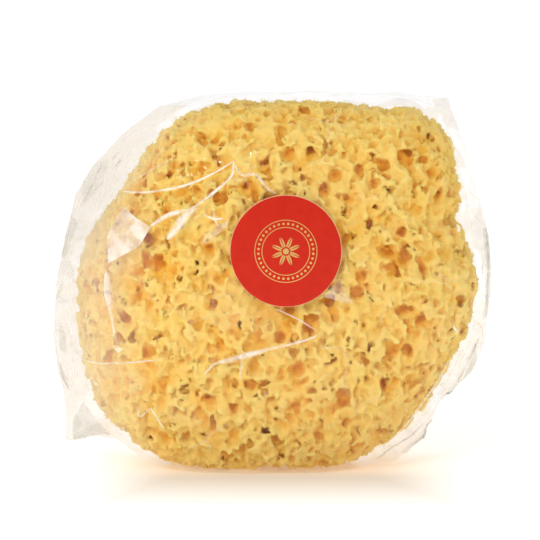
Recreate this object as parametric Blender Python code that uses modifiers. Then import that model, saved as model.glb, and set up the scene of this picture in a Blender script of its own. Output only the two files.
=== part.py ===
"""A honeycomb bath sponge in its clear film bag, with a round paper label on the front.

Metres, +Z up. The front looks along -Y, and the object stands on the floor with its origin under
its middle. The sponge is one grown piece, the bag is one skin of film, and the label is a disc.
"""

import math

import bpy
import bmesh
import numpy as np

MM = 0.001
TURN = 2 * math.pi

# The sponge's outline seen from the front, as radii from its middle at equal turns, anticlockwise
# from +X. The dip near +X is the cleft between the sponge's two right-hand lobes.
MIDDLE_HEIGHT = 64.2 * MM
OUTLINE_MM = (
    71.5, 69.5, 74.0, 79.5, 71.0, 66.0, 64.0, 65.5, 67.0, 65.5, 64.5, 68.5,
    71.0, 72.5, 76.5, 76.5, 75.0, 72.0, 70.5, 71.0, 69.5, 69.0, 67.5, 69.5,
)
OUTLINE_UNIT = 100 * MM
MIDDLE_RADIUS = 72.0 * MM

# The front is a low dome and the back, where the sponge was cut from the rock, is flatter.
FRONT_DEPTH = 36.0 * MM
BACK_DEPTH = 31.0 * MM
SQUARENESS = 2.6
FOOT_HEIGHT = 1.0 * MM
FOOT_ROUNDING = 5.0 * MM

# Canals that open on the front: x, z and mouth radius in millimetres.
CANALS_MM = (
    (-22, 111, 1.8), (-11, 97, 2.5), (-20, 93, 2.5), (-44, 79, 2.5), (-41, 71, 3.2),
    (-23, 76, 2.1), (-19, 120, 2.1), (4, 107, 2.1), (12, 108, 2.5), (28, 102, 2.1),
    (20, 101, 2.1), (44, 107, 3.2), (16, 96, 2.5), (33, 98, 2.1), (-4, 104, 2.5),
    (43, 81, 2.1), (38, 75, 2.8), (44, 73, 2.5), (40, 69, 3.2), (29, 67, 2.5),
    (56, 93, 2.1), (53, 113, 1.8), (-22, 57, 2.1), (-52, 52, 2.1), (-20, 66, 2.1),
    (-9, 30, 2.8), (-24, 25, 2.5), (-15, 22, 2.1), (-35, 21, 1.8), (-38, 32, 1.8),
    (4, 56, 2.1), (13, 53, 2.1), (11, 49, 2.8), (1, 47, 2.5), (7, 35, 2.8),
    (18, 59, 2.5), (28, 61, 2.5), (43, 55, 2.5), (31, 31, 1.8), (23, 27, 2.5),
    (23, 23, 2.1), (6, 22, 2.5), (50, 51, 2.1), (40, 41, 2.1), (45, 41, 2.1),
)
CANAL_DEPTH = 9.0 * MM
CANAL_LEAN = 0.35

# Pits of every other side: the void cells of the honeycomb, and how unevenly they are shaped.
CELL = 12.5 * MM
CELL_VOID = 0.38
WARP = 2.6 * MM
WARP_SIZE = 9.0 * MM
LUMP = 1.6 * MM
LUMP_SIZE = 15.0 * MM
PIT_DEPTH = 7.5 * MM

VOID_ROUNDING = 1.0 * MM

# The grid that the sponge grows on, and how finely its skin is kept.
GRID_LOW = (-82 * MM, -40 * MM, -4 * MM)
GRID_HIGH = (82 * MM, 36 * MM, 136 * MM)
GRID_STEP = 2.3 * MM
SPONGE_TRIANGLES = 6200

# The cleft: a groove from the dip in the outline towards the label, shallower as it goes.
CLEFT_START = (72.0 * MM, 87.0 * MM)
CLEFT_END = (24.0 * MM, 86.0 * MM)
CLEFT_DEPTH = 3.2 * MM
CLEFT_WIDTH = 3.0 * MM
CLEFT_FADE = 0.75

# The bag's edge where its front and back films meet, as corners x, z in millimetres.
BAG_EDGE_MM = (
    (75.0, 63.0), (73.5, 81.5), (70.0, 94.5), (66.0, 110.0), (59.0, 128.4), (18.5, 129.6),
    (-9.5, 130.2), (-25.0, 129.0), (-41.0, 125.0), (-53.0, 116.0), (-63.5, 105.0), (-70.0, 94.5),
    (-74.0, 79.0), (-77.0, 63.0), (-78.0, 46.0), (-77.0, 34.0), (-74.5, 25.0), (-74.0, 7.5),
    (-63.5, 9.5), (-56.5, 8.5), (-50.0, 3.6), (-42.0, 0.0), (-27.0, -1.0), (32.0, -1.0),
    (42.0, 0.6), (51.5, 9.0), (56.5, 21.0), (69.0, 33.0), (73.0, 44.0),
)
FILM = 0.35 * MM
FILM_GAP = 1.2 * MM
RIM_HALF_GAP = 1.2 * MM
FILM_TURNS = 40
FILM_RINGS = 8
PROFILE_STEPS = 48

# The bag's mouth is folded down over the back: a slit under a flap.
MOUTH_HEIGHT = 84.0 * MM
MOUTH_HALF_WIDTH = 40.0 * MM
FLAP_DROP = 16.0 * MM
FLAP_LIFT = 1.3 * MM
FLAP_ROWS = 3

LABEL_RADIUS = 18.7 * MM
LABEL_X = 2.9 * MM
LABEL_Z = 78.2 * MM
LABEL_THICKNESS = 0.25 * MM
LABEL_GAP = 0.4 * MM
LABEL_SIDES = 36
LABEL_RINGS = 2


class Field:
    """A node socket with arithmetic: each sum or product adds a Math node to its tree."""

    def __init__(self, tree, socket):
        self.tree = tree
        self.socket = socket

    def math(self, operation, *others):
        node = self.tree.nodes.new("ShaderNodeMath")
        node.operation = operation
        for slot, value in zip(node.inputs, (self, *others)):
            if isinstance(value, Field):
                self.tree.links.new(value.socket, slot)
            else:
                slot.default_value = value
        return Field(self.tree, node.outputs[0])

    def __add__(self, other):
        return self.math("ADD", other)

    def __sub__(self, other):
        return self.math("SUBTRACT", other)

    def __mul__(self, other):
        return self.math("MULTIPLY", other)

    def __truediv__(self, other):
        return self.math("DIVIDE", other)

    def __pow__(self, other):
        return self.math("POWER", other)


def clear_scene():
    for obj in list(bpy.data.objects):
        bpy.data.objects.remove(obj)


def new_collection(name):
    collection = bpy.data.collections.new(name)
    bpy.context.scene.collection.children.link(collection)
    return collection


def plain_material(name, colour, roughness, alpha=1.0):
    material = bpy.data.materials.new(name)
    material.use_nodes = True
    shader = material.node_tree.nodes["Principled BSDF"]
    shader.inputs["Base Color"].default_value = (*colour, 1.0)
    shader.inputs["Roughness"].default_value = roughness
    shader.inputs["Metallic"].default_value = 0.0
    shader.inputs["Alpha"].default_value = alpha
    material.diffuse_color = (*colour, alpha)
    return material


def add_outline_curve(tree):
    """The outline as a Float Curve: a share of a full turn in, a share of OUTLINE_UNIT out."""
    node = tree.nodes.new("ShaderNodeFloatCurve")
    curve = node.mapping.curves[0]
    ring = [radius * MM / OUTLINE_UNIT for radius in (*OUTLINE_MM, OUTLINE_MM[0])]
    curve.points[0].location = (0.0, ring[0])
    curve.points[1].location = (1.0, ring[-1])
    for index, radius in enumerate(ring[1:-1], start=1):
        curve.points.new(index / len(OUTLINE_MM), radius)
    node.mapping.update()
    return node


def texture(tree, kind, position, size, **sockets):
    """A 3D texture node on a position, with its pattern's size in metres."""
    node = tree.nodes.new(kind)
    tree.links.new(position, node.inputs["Vector"])
    node.inputs["Scale"].default_value = 1.0 / size
    for name, value in sockets.items():
        node.inputs[name.replace("_", " ")].default_value = value
    return node


def warped_position(tree, position):
    """The position pushed about by noise, so that no cell stays round."""
    noise = texture(tree, "ShaderNodeTexNoise", position, WARP_SIZE, Detail=1.0)
    centred = tree.nodes.new("ShaderNodeVectorMath")
    centred.operation = "SUBTRACT"
    centred.inputs[1].default_value = (0.5, 0.5, 0.5)
    tree.links.new(noise.outputs["Color"], centred.inputs[0])
    moved = tree.nodes.new("ShaderNodeVectorMath")
    moved.operation = "MULTIPLY_ADD"
    moved.inputs[1].default_value = (2 * WARP,) * 3
    tree.links.new(centred.outputs[0], moved.inputs[0])
    tree.links.new(position, moved.inputs[2])
    return moved.outputs[0]


def blank_depth(tree, x, y, z):
    """How far a point lies inside the plain blank: a disc of the outline with rounded sides."""
    height = z - MIDDLE_HEIGHT
    radius = (x * x + height * height).math("SQRT")
    turn = height.math("ARCTAN2", x) / TURN
    curve = add_outline_curve(tree)
    tree.links.new(turn.math("FRACT").socket, curve.inputs["Value"])
    reach = Field(tree, curve.outputs[0]) * OUTLINE_UNIT
    front = y.math("LESS_THAN", 0.0)
    half_depth = front * (FRONT_DEPTH - BACK_DEPTH) + BACK_DEPTH
    across = radius / reach
    through = y.math("ABSOLUTE") / half_depth
    whole = (across ** SQUARENESS + through ** SQUARENESS).math("MAXIMUM", 1e-6)
    level = whole ** (1 / SQUARENESS)
    slope_across = across ** (SQUARENESS - 1) / reach
    slope_through = through ** (SQUARENESS - 1) / half_depth
    slope = (slope_across * slope_across + slope_through * slope_through).math("SQRT")
    slope = slope * level ** (1 - SQUARENESS)
    inside = level * -1.0 + 1.0
    depth = inside / slope.math("MAXIMUM", 1.0 / OUTLINE_UNIT)
    return depth.math("SMOOTH_MIN", z - FOOT_HEIGHT, FOOT_ROUNDING), curve


def cleft_depth(x, y, z):
    """How deep the cleft cuts at a point: a soft groove along a line on the front and the side."""
    run_x = CLEFT_END[0] - CLEFT_START[0]
    run_z = CLEFT_END[1] - CLEFT_START[1]
    run = run_x * run_x + run_z * run_z
    along = ((x - CLEFT_START[0]) * run_x + (z - CLEFT_START[1]) * run_z) / run
    along = along.math("MAXIMUM", 0.0).math("MINIMUM", 1.0)
    off_x = x - CLEFT_START[0] - along * run_x
    off_z = z - CLEFT_START[1] - along * run_z
    off = (off_x * off_x + off_z * off_z) / CLEFT_WIDTH**2
    fade = along * -CLEFT_FADE + 1.0
    return (off * -1.0).math("EXPONENT") * fade * CLEFT_DEPTH


def canal_clearance(tree, lines, position):
    """The distance from a point to the wall of the nearest hand-placed canal, negative inside it."""
    source = tree.nodes.new("GeometryNodeObjectInfo")
    source.inputs["Object"].default_value = lines
    geometry = source.outputs["Geometry"]
    near = tree.nodes.new("GeometryNodeProximity")
    near.target_element = "EDGES"
    tree.links.new(geometry, near.inputs[0])
    tree.links.new(position, near.inputs["Sample Position"])
    nearest = tree.nodes.new("GeometryNodeSampleNearest")
    tree.links.new(geometry, nearest.inputs["Geometry"])
    tree.links.new(position, nearest.inputs["Sample Position"])
    radius = tree.nodes.new("GeometryNodeInputNamedAttribute")
    radius.data_type = "FLOAT"
    radius.inputs["Name"].default_value = "radius"
    sample = tree.nodes.new("GeometryNodeSampleIndex")
    sample.data_type = "FLOAT"
    sample.domain = "POINT"
    tree.links.new(geometry, sample.inputs["Geometry"])
    tree.links.new(radius.outputs["Attribute"], sample.inputs["Value"])
    tree.links.new(nearest.outputs["Index"], sample.inputs["Index"])
    return Field(tree, near.outputs["Distance"]) - Field(tree, sample.outputs["Value"])


def growth_tree(lines):
    """Geometry Nodes that grow the sponge: blank, less lumps, cells, canals and the cleft."""
    tree = bpy.data.node_groups.new("sponge growth", "GeometryNodeTree")
    tree.interface.new_socket(name="Geometry", in_out="OUTPUT", socket_type="NodeSocketGeometry")
    place = tree.nodes.new("GeometryNodeInputPosition").outputs[0]
    split = tree.nodes.new("ShaderNodeSeparateXYZ")
    tree.links.new(place, split.inputs[0])
    x, y, z = (Field(tree, socket) for socket in split.outputs)
    skin, curve = blank_depth(tree, x, y, z)
    warped = warped_position(tree, place)
    lump = texture(tree, "ShaderNodeTexNoise", place, LUMP_SIZE, Detail=1.0)
    skin = skin - Field(tree, lump.outputs["Fac"]) * LUMP - cleft_depth(x, y, z)
    cells = texture(tree, "ShaderNodeTexVoronoi", warped, CELL)
    void = (Field(tree, cells.outputs["Distance"]) - CELL_VOID) * CELL
    void = void.math("MAXIMUM", skin - PIT_DEPTH)
    solid = skin.math("SMOOTH_MIN", void, VOID_ROUNDING)
    solid = solid.math("MINIMUM", canal_clearance(tree, lines, warped))
    density = (solid / (4 * GRID_STEP) + 0.5).math("MAXIMUM", 0.0).math("MINIMUM", 1.0)
    cube = tree.nodes.new("GeometryNodeVolumeCube")
    cube.inputs["Min"].default_value = GRID_LOW
    cube.inputs["Max"].default_value = GRID_HIGH
    for axis, first, last in zip("XYZ", GRID_LOW, GRID_HIGH):
        cube.inputs[f"Resolution {axis}"].default_value = round((last - first) / GRID_STEP)
    tree.links.new(density.socket, cube.inputs["Density"])
    skin_mesh = tree.nodes.new("GeometryNodeVolumeToMesh")
    skin_mesh.inputs["Threshold"].default_value = 0.5
    tree.links.new(cube.outputs[0], skin_mesh.inputs["Volume"])
    out = tree.nodes.new("NodeGroupOutput")
    tree.links.new(skin_mesh.outputs[0], out.inputs[0])
    return tree, curve


def outline_radius(curve, angle):
    mapping = curve.mapping
    return mapping.evaluate(mapping.curves[0], (angle / TURN) % 1.0) * OUTLINE_UNIT


def half_profile(radius, half_depth, gap):
    """A quarter of the blank's section, from the middle of its face to its edge, moved out by gap."""
    turn = np.linspace(0.0, math.pi / 2, PROFILE_STEPS)
    across = radius * np.sin(turn) ** (2 / SQUARENESS)
    through = half_depth * np.cos(turn) ** (2 / SQUARENESS)
    normal = np.stack([(across / radius) ** (SQUARENESS - 1) / radius,
                       (through / half_depth) ** (SQUARENESS - 1) / half_depth], axis=1)
    normal /= np.linalg.norm(normal, axis=1)[:, None]
    return np.stack([across, through], axis=1) + normal * gap


def film_profile(radius, half_depth, rim):
    """The film's section: it lies on the sponge, then leaves it along a straight line to the rim."""
    lying = half_profile(radius, half_depth, FILM_GAP)
    end = np.array([max(rim, radius + FILM_GAP), RIM_HALF_GAP])
    reach = lying - end
    rise = np.arctan2(reach[:, 1], -reach[:, 0])
    rise[lying[:, 0] > end[0] - MM] = -1.0
    tangent = int(np.argmax(rise))
    return np.vstack([lying[: tangent + 1], end])


def spaced(profile, rings):
    """Points along a profile, closer together where it turns."""
    step = np.diff(profile, axis=0)
    length = np.linalg.norm(step, axis=1)
    heading = np.unwrap(np.arctan2(step[:, 1], step[:, 0]))
    turning = np.concatenate([[0.0], np.abs(np.diff(heading))])
    weight = length / length.sum() + turning / max(turning.sum(), 1e-9)
    at = np.concatenate([[0.0], np.cumsum(weight)])
    wanted = np.linspace(0.0, at[-1], rings + 1)
    return np.stack([np.interp(wanted, at, profile[:, i]) for i in (0, 1)], axis=1)


def rim_radius(angle):
    """Where a ray from the middle crosses the bag's edge."""
    ray = (math.cos(angle), math.sin(angle))
    corners = [(x * MM, z * MM - MIDDLE_HEIGHT) for x, z in BAG_EDGE_MM]
    for (ax, az), (bx, bz) in zip(corners, corners[1:] + corners[:1]):
        side_a = ray[0] * az - ray[1] * ax
        side_b = ray[0] * bz - ray[1] * bx
        if side_a <= 0.0 < side_b and ray[0] * ax + ray[1] * az > 0.0:
            share = side_a / (side_a - side_b)
            return math.hypot(ax + share * (bx - ax), az + share * (bz - az))
    raise ValueError("the bag's edge has to run once round the middle, anticlockwise")


def film_turns():
    """The angles of the film's rows: even ones, and the corners of the bag's edge that stand out."""
    even = [TURN * i / FILM_TURNS for i in range(FILM_TURNS)]
    corners = [math.atan2(z * MM - MIDDLE_HEIGHT, x * MM) % TURN for x, z in BAG_EDGE_MM]
    keep = [a for a in even if min(abs(a - c) for c in corners) > 0.55 * TURN / FILM_TURNS]
    return sorted(keep + corners)


def film_section(curve, angle, side):
    """The film's section on one face along a ray, stretched over the widest sponge beside it."""
    beside = TURN / FILM_TURNS / 2
    radius = max(outline_radius(curve, angle + step) for step in (-beside, 0.0, beside))
    half_depth = FRONT_DEPTH if side < 0 else BACK_DEPTH
    return film_profile(radius, half_depth, rim_radius(angle))


def film_points(curve, angle, side):
    """The film's points along a ray, with one of them where it meets the floor."""
    profile = film_section(curve, angle, side)
    points = spaced(profile, FILM_RINGS)
    floor = MIDDLE_HEIGHT / max(-math.sin(angle), 1e-6)
    if floor < profile[-1, 0]:
        nearest = int(np.argmin(np.abs(points[:, 0] - floor)))
        points[nearest] = (floor, np.interp(floor, profile[:, 0], profile[:, 1]))
    x = points[:, 0] * math.cos(angle)
    z = np.maximum(points[:, 0] * math.sin(angle) + MIDDLE_HEIGHT, 0.0)
    return np.stack([x, side * points[:, 1], z], axis=1)


def film_face_depth(curve, x, z, side):
    """How far the film stands from the middle plane at a place on one face."""
    profile = film_section(curve, math.atan2(z - MIDDLE_HEIGHT, x), side)
    return float(np.interp(math.hypot(x, z - MIDDLE_HEIGHT), profile[:, 0], profile[:, 1]))


def new_object(name, mesh, collection, material):
    obj = bpy.data.objects.new(name, mesh)
    collection.objects.link(obj)
    mesh.materials.append(material)
    return obj


def make_canal_lines(collection):
    """Guide lines down the middle of each canal, with its radius at both ends."""
    bm = bmesh.new()
    radius = bm.verts.layers.float.new("radius")
    for x_mm, z_mm, radius_mm in CANALS_MM:
        x, z = x_mm * MM, z_mm * MM
        share = min(math.hypot(x, z - MIDDLE_HEIGHT) / MIDDLE_RADIUS, 0.95)
        face = FRONT_DEPTH * (1.0 - share**SQUARENESS) ** (1 / SQUARENESS)
        outer = bm.verts.new((x, -face - CANAL_DEPTH, z))
        lean = CANAL_LEAN * CANAL_DEPTH
        inner = bm.verts.new((x - lean * x / OUTLINE_UNIT, -face + CANAL_DEPTH, z + lean))
        for end in (outer, inner):
            end[radius] = radius_mm * MM
        bm.edges.new((outer, inner))
    mesh = bpy.data.meshes.new("canal lines")
    bm.to_mesh(mesh)
    bm.free()
    lines = bpy.data.objects.new("canal lines", mesh)
    collection.objects.link(lines)
    lines.hide_render = True
    lines.display_type = "WIRE"
    return lines


def skin_only(mesh):
    """The mesh without the closed voids inside it: only its largest connected part."""
    bm = bmesh.new()
    bm.from_mesh(mesh)
    left = set(bm.verts)
    islands = []
    while left:
        island = {left.pop()}
        edge = list(island)
        while edge:
            vert = edge.pop()
            for link in vert.link_edges:
                other = link.other_vert(vert)
                if other in left:
                    left.discard(other)
                    island.add(other)
                    edge.append(other)
        islands.append(island)
    largest = max(islands, key=len)
    loose = [vert for island in islands if island is not largest for vert in island]
    bmesh.ops.delete(bm, geom=loose, context="VERTS")
    bmesh.ops.triangulate(bm, faces=bm.faces)
    bm.to_mesh(mesh)
    bm.free()
    return mesh


def make_sponge(parts, guides, material):
    tree, curve = growth_tree(make_canal_lines(guides))
    sponge = new_object("sponge", bpy.data.meshes.new("sponge"), parts, material)
    grow = sponge.modifiers.new("grow", "NODES")
    grow.node_group = tree
    bpy.context.view_layer.update()
    graph = bpy.context.evaluated_depsgraph_get()
    grown = bpy.data.meshes.new_from_object(sponge.evaluated_get(graph))
    sponge.modifiers.remove(grow)
    sponge.data = skin_only(grown)
    sponge.data.materials.clear()
    sponge.data.materials.append(material)
    thin = sponge.modifiers.new("thin", "DECIMATE")
    sponge.data.calc_loop_triangles()
    thin.ratio = SPONGE_TRIANGLES / len(sponge.data.loop_triangles)
    return curve


def film_skin(curve):
    """The closed outer skin of the bag, as rows from the front's middle over the rim to the back's."""
    bm = bmesh.new()
    columns = []
    for angle in film_turns():
        front = film_points(curve, angle, -1)
        back = film_points(curve, angle, 1)
        columns.append([bm.verts.new(p) for p in [*front[1:], *back[:0:-1]]])
    poles = [
        bm.verts.new((0.0, -FRONT_DEPTH - FILM_GAP, MIDDLE_HEIGHT)),
        bm.verts.new((0.0, BACK_DEPTH + FILM_GAP, MIDDLE_HEIGHT)),
    ]
    for column, beside in zip(columns, columns[1:] + columns[:1]):
        bm.faces.new((poles[0], column[0], beside[0]))
        bm.faces.new((poles[1], beside[-1], column[-1]))
        for i in range(len(column) - 1):
            bm.faces.new((column[i], column[i + 1], beside[i + 1], beside[i]))
    bmesh.ops.recalc_face_normals(bm, faces=bm.faces)
    return bm


def open_mouth(bm, curve):
    """Cuts the mouth across the back, and carries its upper lip down as a flap over the lower one."""
    back = [face for face in bm.faces if face.calc_center_median().y > 0.3 * BACK_DEPTH]
    region = list({v for f in back for v in f.verts} | {e for f in back for e in f.edges}) + back
    cut = bmesh.ops.bisect_plane(
        bm, geom=region, dist=1e-6, plane_co=(0, 0, MOUTH_HEIGHT), plane_no=(0, 0, 1)
    )
    slit = [
        e for e in cut["geom_cut"]
        if isinstance(e, bmesh.types.BMEdge)
        and all(abs(v.co.x) < MOUTH_HALF_WIDTH for v in e.verts)
    ]
    bmesh.ops.split_edges(bm, edges=slit)
    lips = [e for e in bm.edges if e.is_boundary]
    upper = [e for e in lips if e.link_faces[0].calc_center_median().z > MOUTH_HEIGHT]
    lower = {v for e in lips if e not in upper for v in e.verts}
    shared = {v for e in upper for v in e.verts} & lower
    for vert in lower - shared:
        vert.co.z -= FLAP_LIFT / 2
    for vert in {v for e in upper for v in e.verts} - shared:
        vert.co.y += FLAP_LIFT
    row = [e for e in upper if not shared & set(e.verts)]
    for _ in range(FLAP_ROWS):
        grown = bmesh.ops.extrude_edge_only(bm, edges=row)["geom"]
        new = {v for v in grown if isinstance(v, bmesh.types.BMVert)}
        row = [e for e in grown if isinstance(e, bmesh.types.BMEdge) and set(e.verts) <= new]
        for vert in new:
            vert.co.z -= FLAP_DROP / FLAP_ROWS
            vert.co.y = film_face_depth(curve, vert.co.x, vert.co.z, 1) + FLAP_LIFT


def make_bag(parts, curve, material):
    bm = film_skin(curve)
    open_mouth(bm, curve)
    bmesh.ops.triangulate(bm, faces=bm.faces)
    mesh = bpy.data.meshes.new("bag")
    bm.to_mesh(mesh)
    bm.free()
    bag = new_object("bag", mesh, parts, material)
    wall = bag.modifiers.new("film", "SOLIDIFY")
    wall.thickness = FILM
    wall.offset = -1.0
    wall.use_even_offset = True


def make_label(parts, curve, material):
    """A paper disc that lies on the film's front, with a small gap."""
    bm = bmesh.new()
    spokes = [bm.verts.new((LABEL_RADIUS * i / LABEL_RINGS, 0, 0)) for i in range(LABEL_RINGS + 1)]
    edges = [bm.edges.new(pair) for pair in zip(spokes, spokes[1:])]
    bmesh.ops.spin(
        bm, geom=spokes + edges, axis=(0, 1, 0), cent=(0, 0, 0), angle=TURN, steps=LABEL_SIDES
    )
    bmesh.ops.remove_doubles(bm, verts=bm.verts, dist=0.01 * MM)
    for vert in bm.verts:
        x, z = vert.co.x + LABEL_X, vert.co.z + LABEL_Z
        vert.co = (x, -film_face_depth(curve, x, z, -1) - LABEL_GAP, z)
    bmesh.ops.recalc_face_normals(bm, faces=bm.faces)
    if sum(face.normal.y for face in bm.faces) > 0:
        bmesh.ops.reverse_faces(bm, faces=bm.faces)
    mesh = bpy.data.meshes.new("label")
    bm.to_mesh(mesh)
    bm.free()
    label = new_object("label", mesh, parts, material)
    paper = label.modifiers.new("paper", "SOLIDIFY")
    paper.thickness = LABEL_THICKNESS
    paper.offset = 1.0


def main():
    clear_scene()
    parts = new_collection("wrapped sponge")
    guides = new_collection("guides")
    sponge_yellow = plain_material("sponge fibre", (0.86, 0.62, 0.24), 0.95)
    clear_film = plain_material("clear film", (0.92, 0.94, 0.95), 0.08, alpha=0.25)
    label_red = plain_material("label paper", (0.70, 0.03, 0.02), 0.35)
    curve = make_sponge(parts, guides, sponge_yellow)
    make_bag(parts, curve, clear_film)
    make_label(parts, curve, label_red)


main()
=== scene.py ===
# %% [markdown]
# ## A honeycomb sea sponge in clear film
# The real thing is three pieces: a grown sponge full of pits, the crinkled clear bag that it is
# sold in, and a round paper label stuck on the front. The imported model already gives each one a
# plain solid at its true size and place. This file keeps those places and makes the looks: a fine
# skin of pits and tufts, film that folds and glints, and a printed label.

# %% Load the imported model
import math

import bmesh
import bpy
import numpy as np
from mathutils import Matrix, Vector
from mathutils.bvhtree import BVHTree


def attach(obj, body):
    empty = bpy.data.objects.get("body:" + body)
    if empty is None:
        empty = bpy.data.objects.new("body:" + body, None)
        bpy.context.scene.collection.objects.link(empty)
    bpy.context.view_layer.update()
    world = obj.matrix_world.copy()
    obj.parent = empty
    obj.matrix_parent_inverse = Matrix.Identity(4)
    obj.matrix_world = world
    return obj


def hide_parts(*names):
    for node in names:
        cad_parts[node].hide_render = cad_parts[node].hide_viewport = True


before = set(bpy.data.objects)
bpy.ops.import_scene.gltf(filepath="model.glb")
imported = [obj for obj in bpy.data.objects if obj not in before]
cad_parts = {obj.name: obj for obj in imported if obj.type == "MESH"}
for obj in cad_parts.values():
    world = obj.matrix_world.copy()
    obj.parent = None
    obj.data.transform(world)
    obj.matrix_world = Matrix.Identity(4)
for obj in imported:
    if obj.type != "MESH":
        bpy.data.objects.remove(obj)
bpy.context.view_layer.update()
MM = 0.001
TURN = 2 * math.pi
print("nodes:", sorted(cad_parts))

# %% [markdown]
# ## Arithmetic with nodes
# Both the sponge's shape and the finishes are formulas made of Math nodes. Writing each node out
# would bury the formula, so a small class stands for a socket and adds a node for each operation.
# The formula then reads like the sum that it is.


# %% A socket that can be added and multiplied
class Field:
    """A node socket with arithmetic: each sum or product adds a Math node to its tree."""

    def __init__(self, tree, socket):
        self.tree = tree
        self.socket = socket

    def math(self, operation, *others):
        node = self.tree.nodes.new("ShaderNodeMath")
        node.operation = operation
        for slot, value in zip(node.inputs, (self, *others)):
            if isinstance(value, Field):
                self.tree.links.new(value.socket, slot)
            else:
                slot.default_value = value
        return Field(self.tree, node.outputs[0])

    def __add__(self, other):
        return self.math("ADD", other)

    def __sub__(self, other):
        return self.math("SUBTRACT", other)

    def __mul__(self, other):
        return self.math("MULTIPLY", other)

    def __truediv__(self, other):
        return self.math("DIVIDE", other)

    def __pow__(self, other):
        return self.math("POWER", other)

    def clamped(self):
        held = self.math("ADD", 0.0)
        held.socket.node.use_clamp = True
        return held

    def between(self, low, high):
        """0 at low and 1 at high with soft ends; low may be the larger of the two."""
        node = self.tree.nodes.new("ShaderNodeMapRange")
        node.interpolation_type = "SMOOTHSTEP"
        self.tree.links.new(self.socket, node.inputs["Value"])
        node.inputs["From Min"].default_value = low
        node.inputs["From Max"].default_value = high
        return Field(self.tree, node.outputs["Result"])


def pattern(tree, kind, position, size, **sockets):
    """A 3D texture node on a position, with its pattern's size in metres."""
    node = tree.nodes.new(kind)
    tree.links.new(position, node.inputs["Vector"])
    node.inputs["Scale"].default_value = 1.0 / size
    for name, value in sockets.items():
        node.inputs[name.replace("_", " ")].default_value = value
    return node


print("node arithmetic is ready")

# %% [markdown]
# ## The sponge's form
# The sponge stands on its edge like a thick loaf: a wavy outline seen from the front, a domed
# front and a flatter back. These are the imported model's own measures, kept as the radii of the
# outline at equal turns. A Float Curve node joins them smoothly, and one formula then tells, for
# any point of space, how deep it lies under the outer skin.

# %% Measures of the sponge's form
MIDDLE_HEIGHT = 64.2 * MM
OUTLINE_MM = (
    71.5, 69.5, 74.0, 79.5, 71.0, 66.0, 64.0, 65.5, 67.0, 65.5, 64.5, 68.5,
    71.0, 72.5, 76.5, 76.5, 75.0, 72.0, 70.5, 71.0, 69.5, 69.0, 67.5, 69.5,
)
OUTLINE_UNIT = 100 * MM
FRONT_DEPTH = 36.0 * MM
BACK_DEPTH = 31.0 * MM
SQUARENESS = 2.6
FOOT_HEIGHT = -1.6 * MM
FOOT_FLAT = 0.35 * MM
FOOT_ROUNDING = 3.0 * MM
SKIN_SWELL = 0.6 * MM


def outline_node(tree):
    """The outline as a Float Curve: a share of a full turn in, a share of OUTLINE_UNIT out."""
    node = tree.nodes.new("ShaderNodeFloatCurve")
    curve = node.mapping.curves[0]
    ring = [radius * MM / OUTLINE_UNIT for radius in (*OUTLINE_MM, OUTLINE_MM[0])]
    curve.points[0].location = (0.0, ring[0])
    curve.points[1].location = (1.0, ring[-1])
    for index, radius in enumerate(ring[1:-1], start=1):
        curve.points.new(index / len(OUTLINE_MM), radius)
    node.mapping.update()
    return node


def form_depth(tree, x, y, z):
    """How far a point lies inside the smooth form of the sponge."""
    height = z - MIDDLE_HEIGHT
    radius = (x * x + height * height).math("SQRT")
    curve = outline_node(tree)
    turn = height.math("ARCTAN2", x) / TURN
    tree.links.new(turn.math("FRACT").socket, curve.inputs["Value"])
    reach = Field(tree, curve.outputs[0]) * OUTLINE_UNIT
    half_depth = y.math("LESS_THAN", 0.0) * (FRONT_DEPTH - BACK_DEPTH) + BACK_DEPTH
    across = radius / reach
    through = y.math("ABSOLUTE") / half_depth
    whole = (across ** SQUARENESS + through ** SQUARENESS).math("MAXIMUM", 1e-6)
    level = whole ** (1 / SQUARENESS)
    slope_across = across ** (SQUARENESS - 1) / reach
    slope_through = through ** (SQUARENESS - 1) / half_depth
    slope = (slope_across * slope_across + slope_through * slope_through).math("SQRT")
    slope = slope * level ** (1 - SQUARENESS)
    depth = (level * -1.0 + 1.0) / slope.math("MAXIMUM", 1.0 / OUTLINE_UNIT) + SKIN_SWELL
    return depth.math("SMOOTH_MIN", z - FOOT_HEIGHT, FOOT_ROUNDING)


print("outline radii:", len(OUTLINE_MM), "from", min(OUTLINE_MM), "to", max(OUTLINE_MM), "mm")

# %% [markdown]
# ## Pits, canals and the cleft
# A honeycomb sponge is a felt of fibre round rounded voids. Voronoi cells give bowls of that
# kind: the skin sinks towards each cell's middle, and between the cells its walls stand. Three
# sizes lie over each other. Some of the smaller cells are holes with steep walls instead, cut to the
# cell's own angular outline, and noise bends the space first so that nothing stays regular. The
# canals that stand out on the front get a line of their own each, with the radius of its mouth, and
# the deep cleft on the right is a groove along a line.

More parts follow.
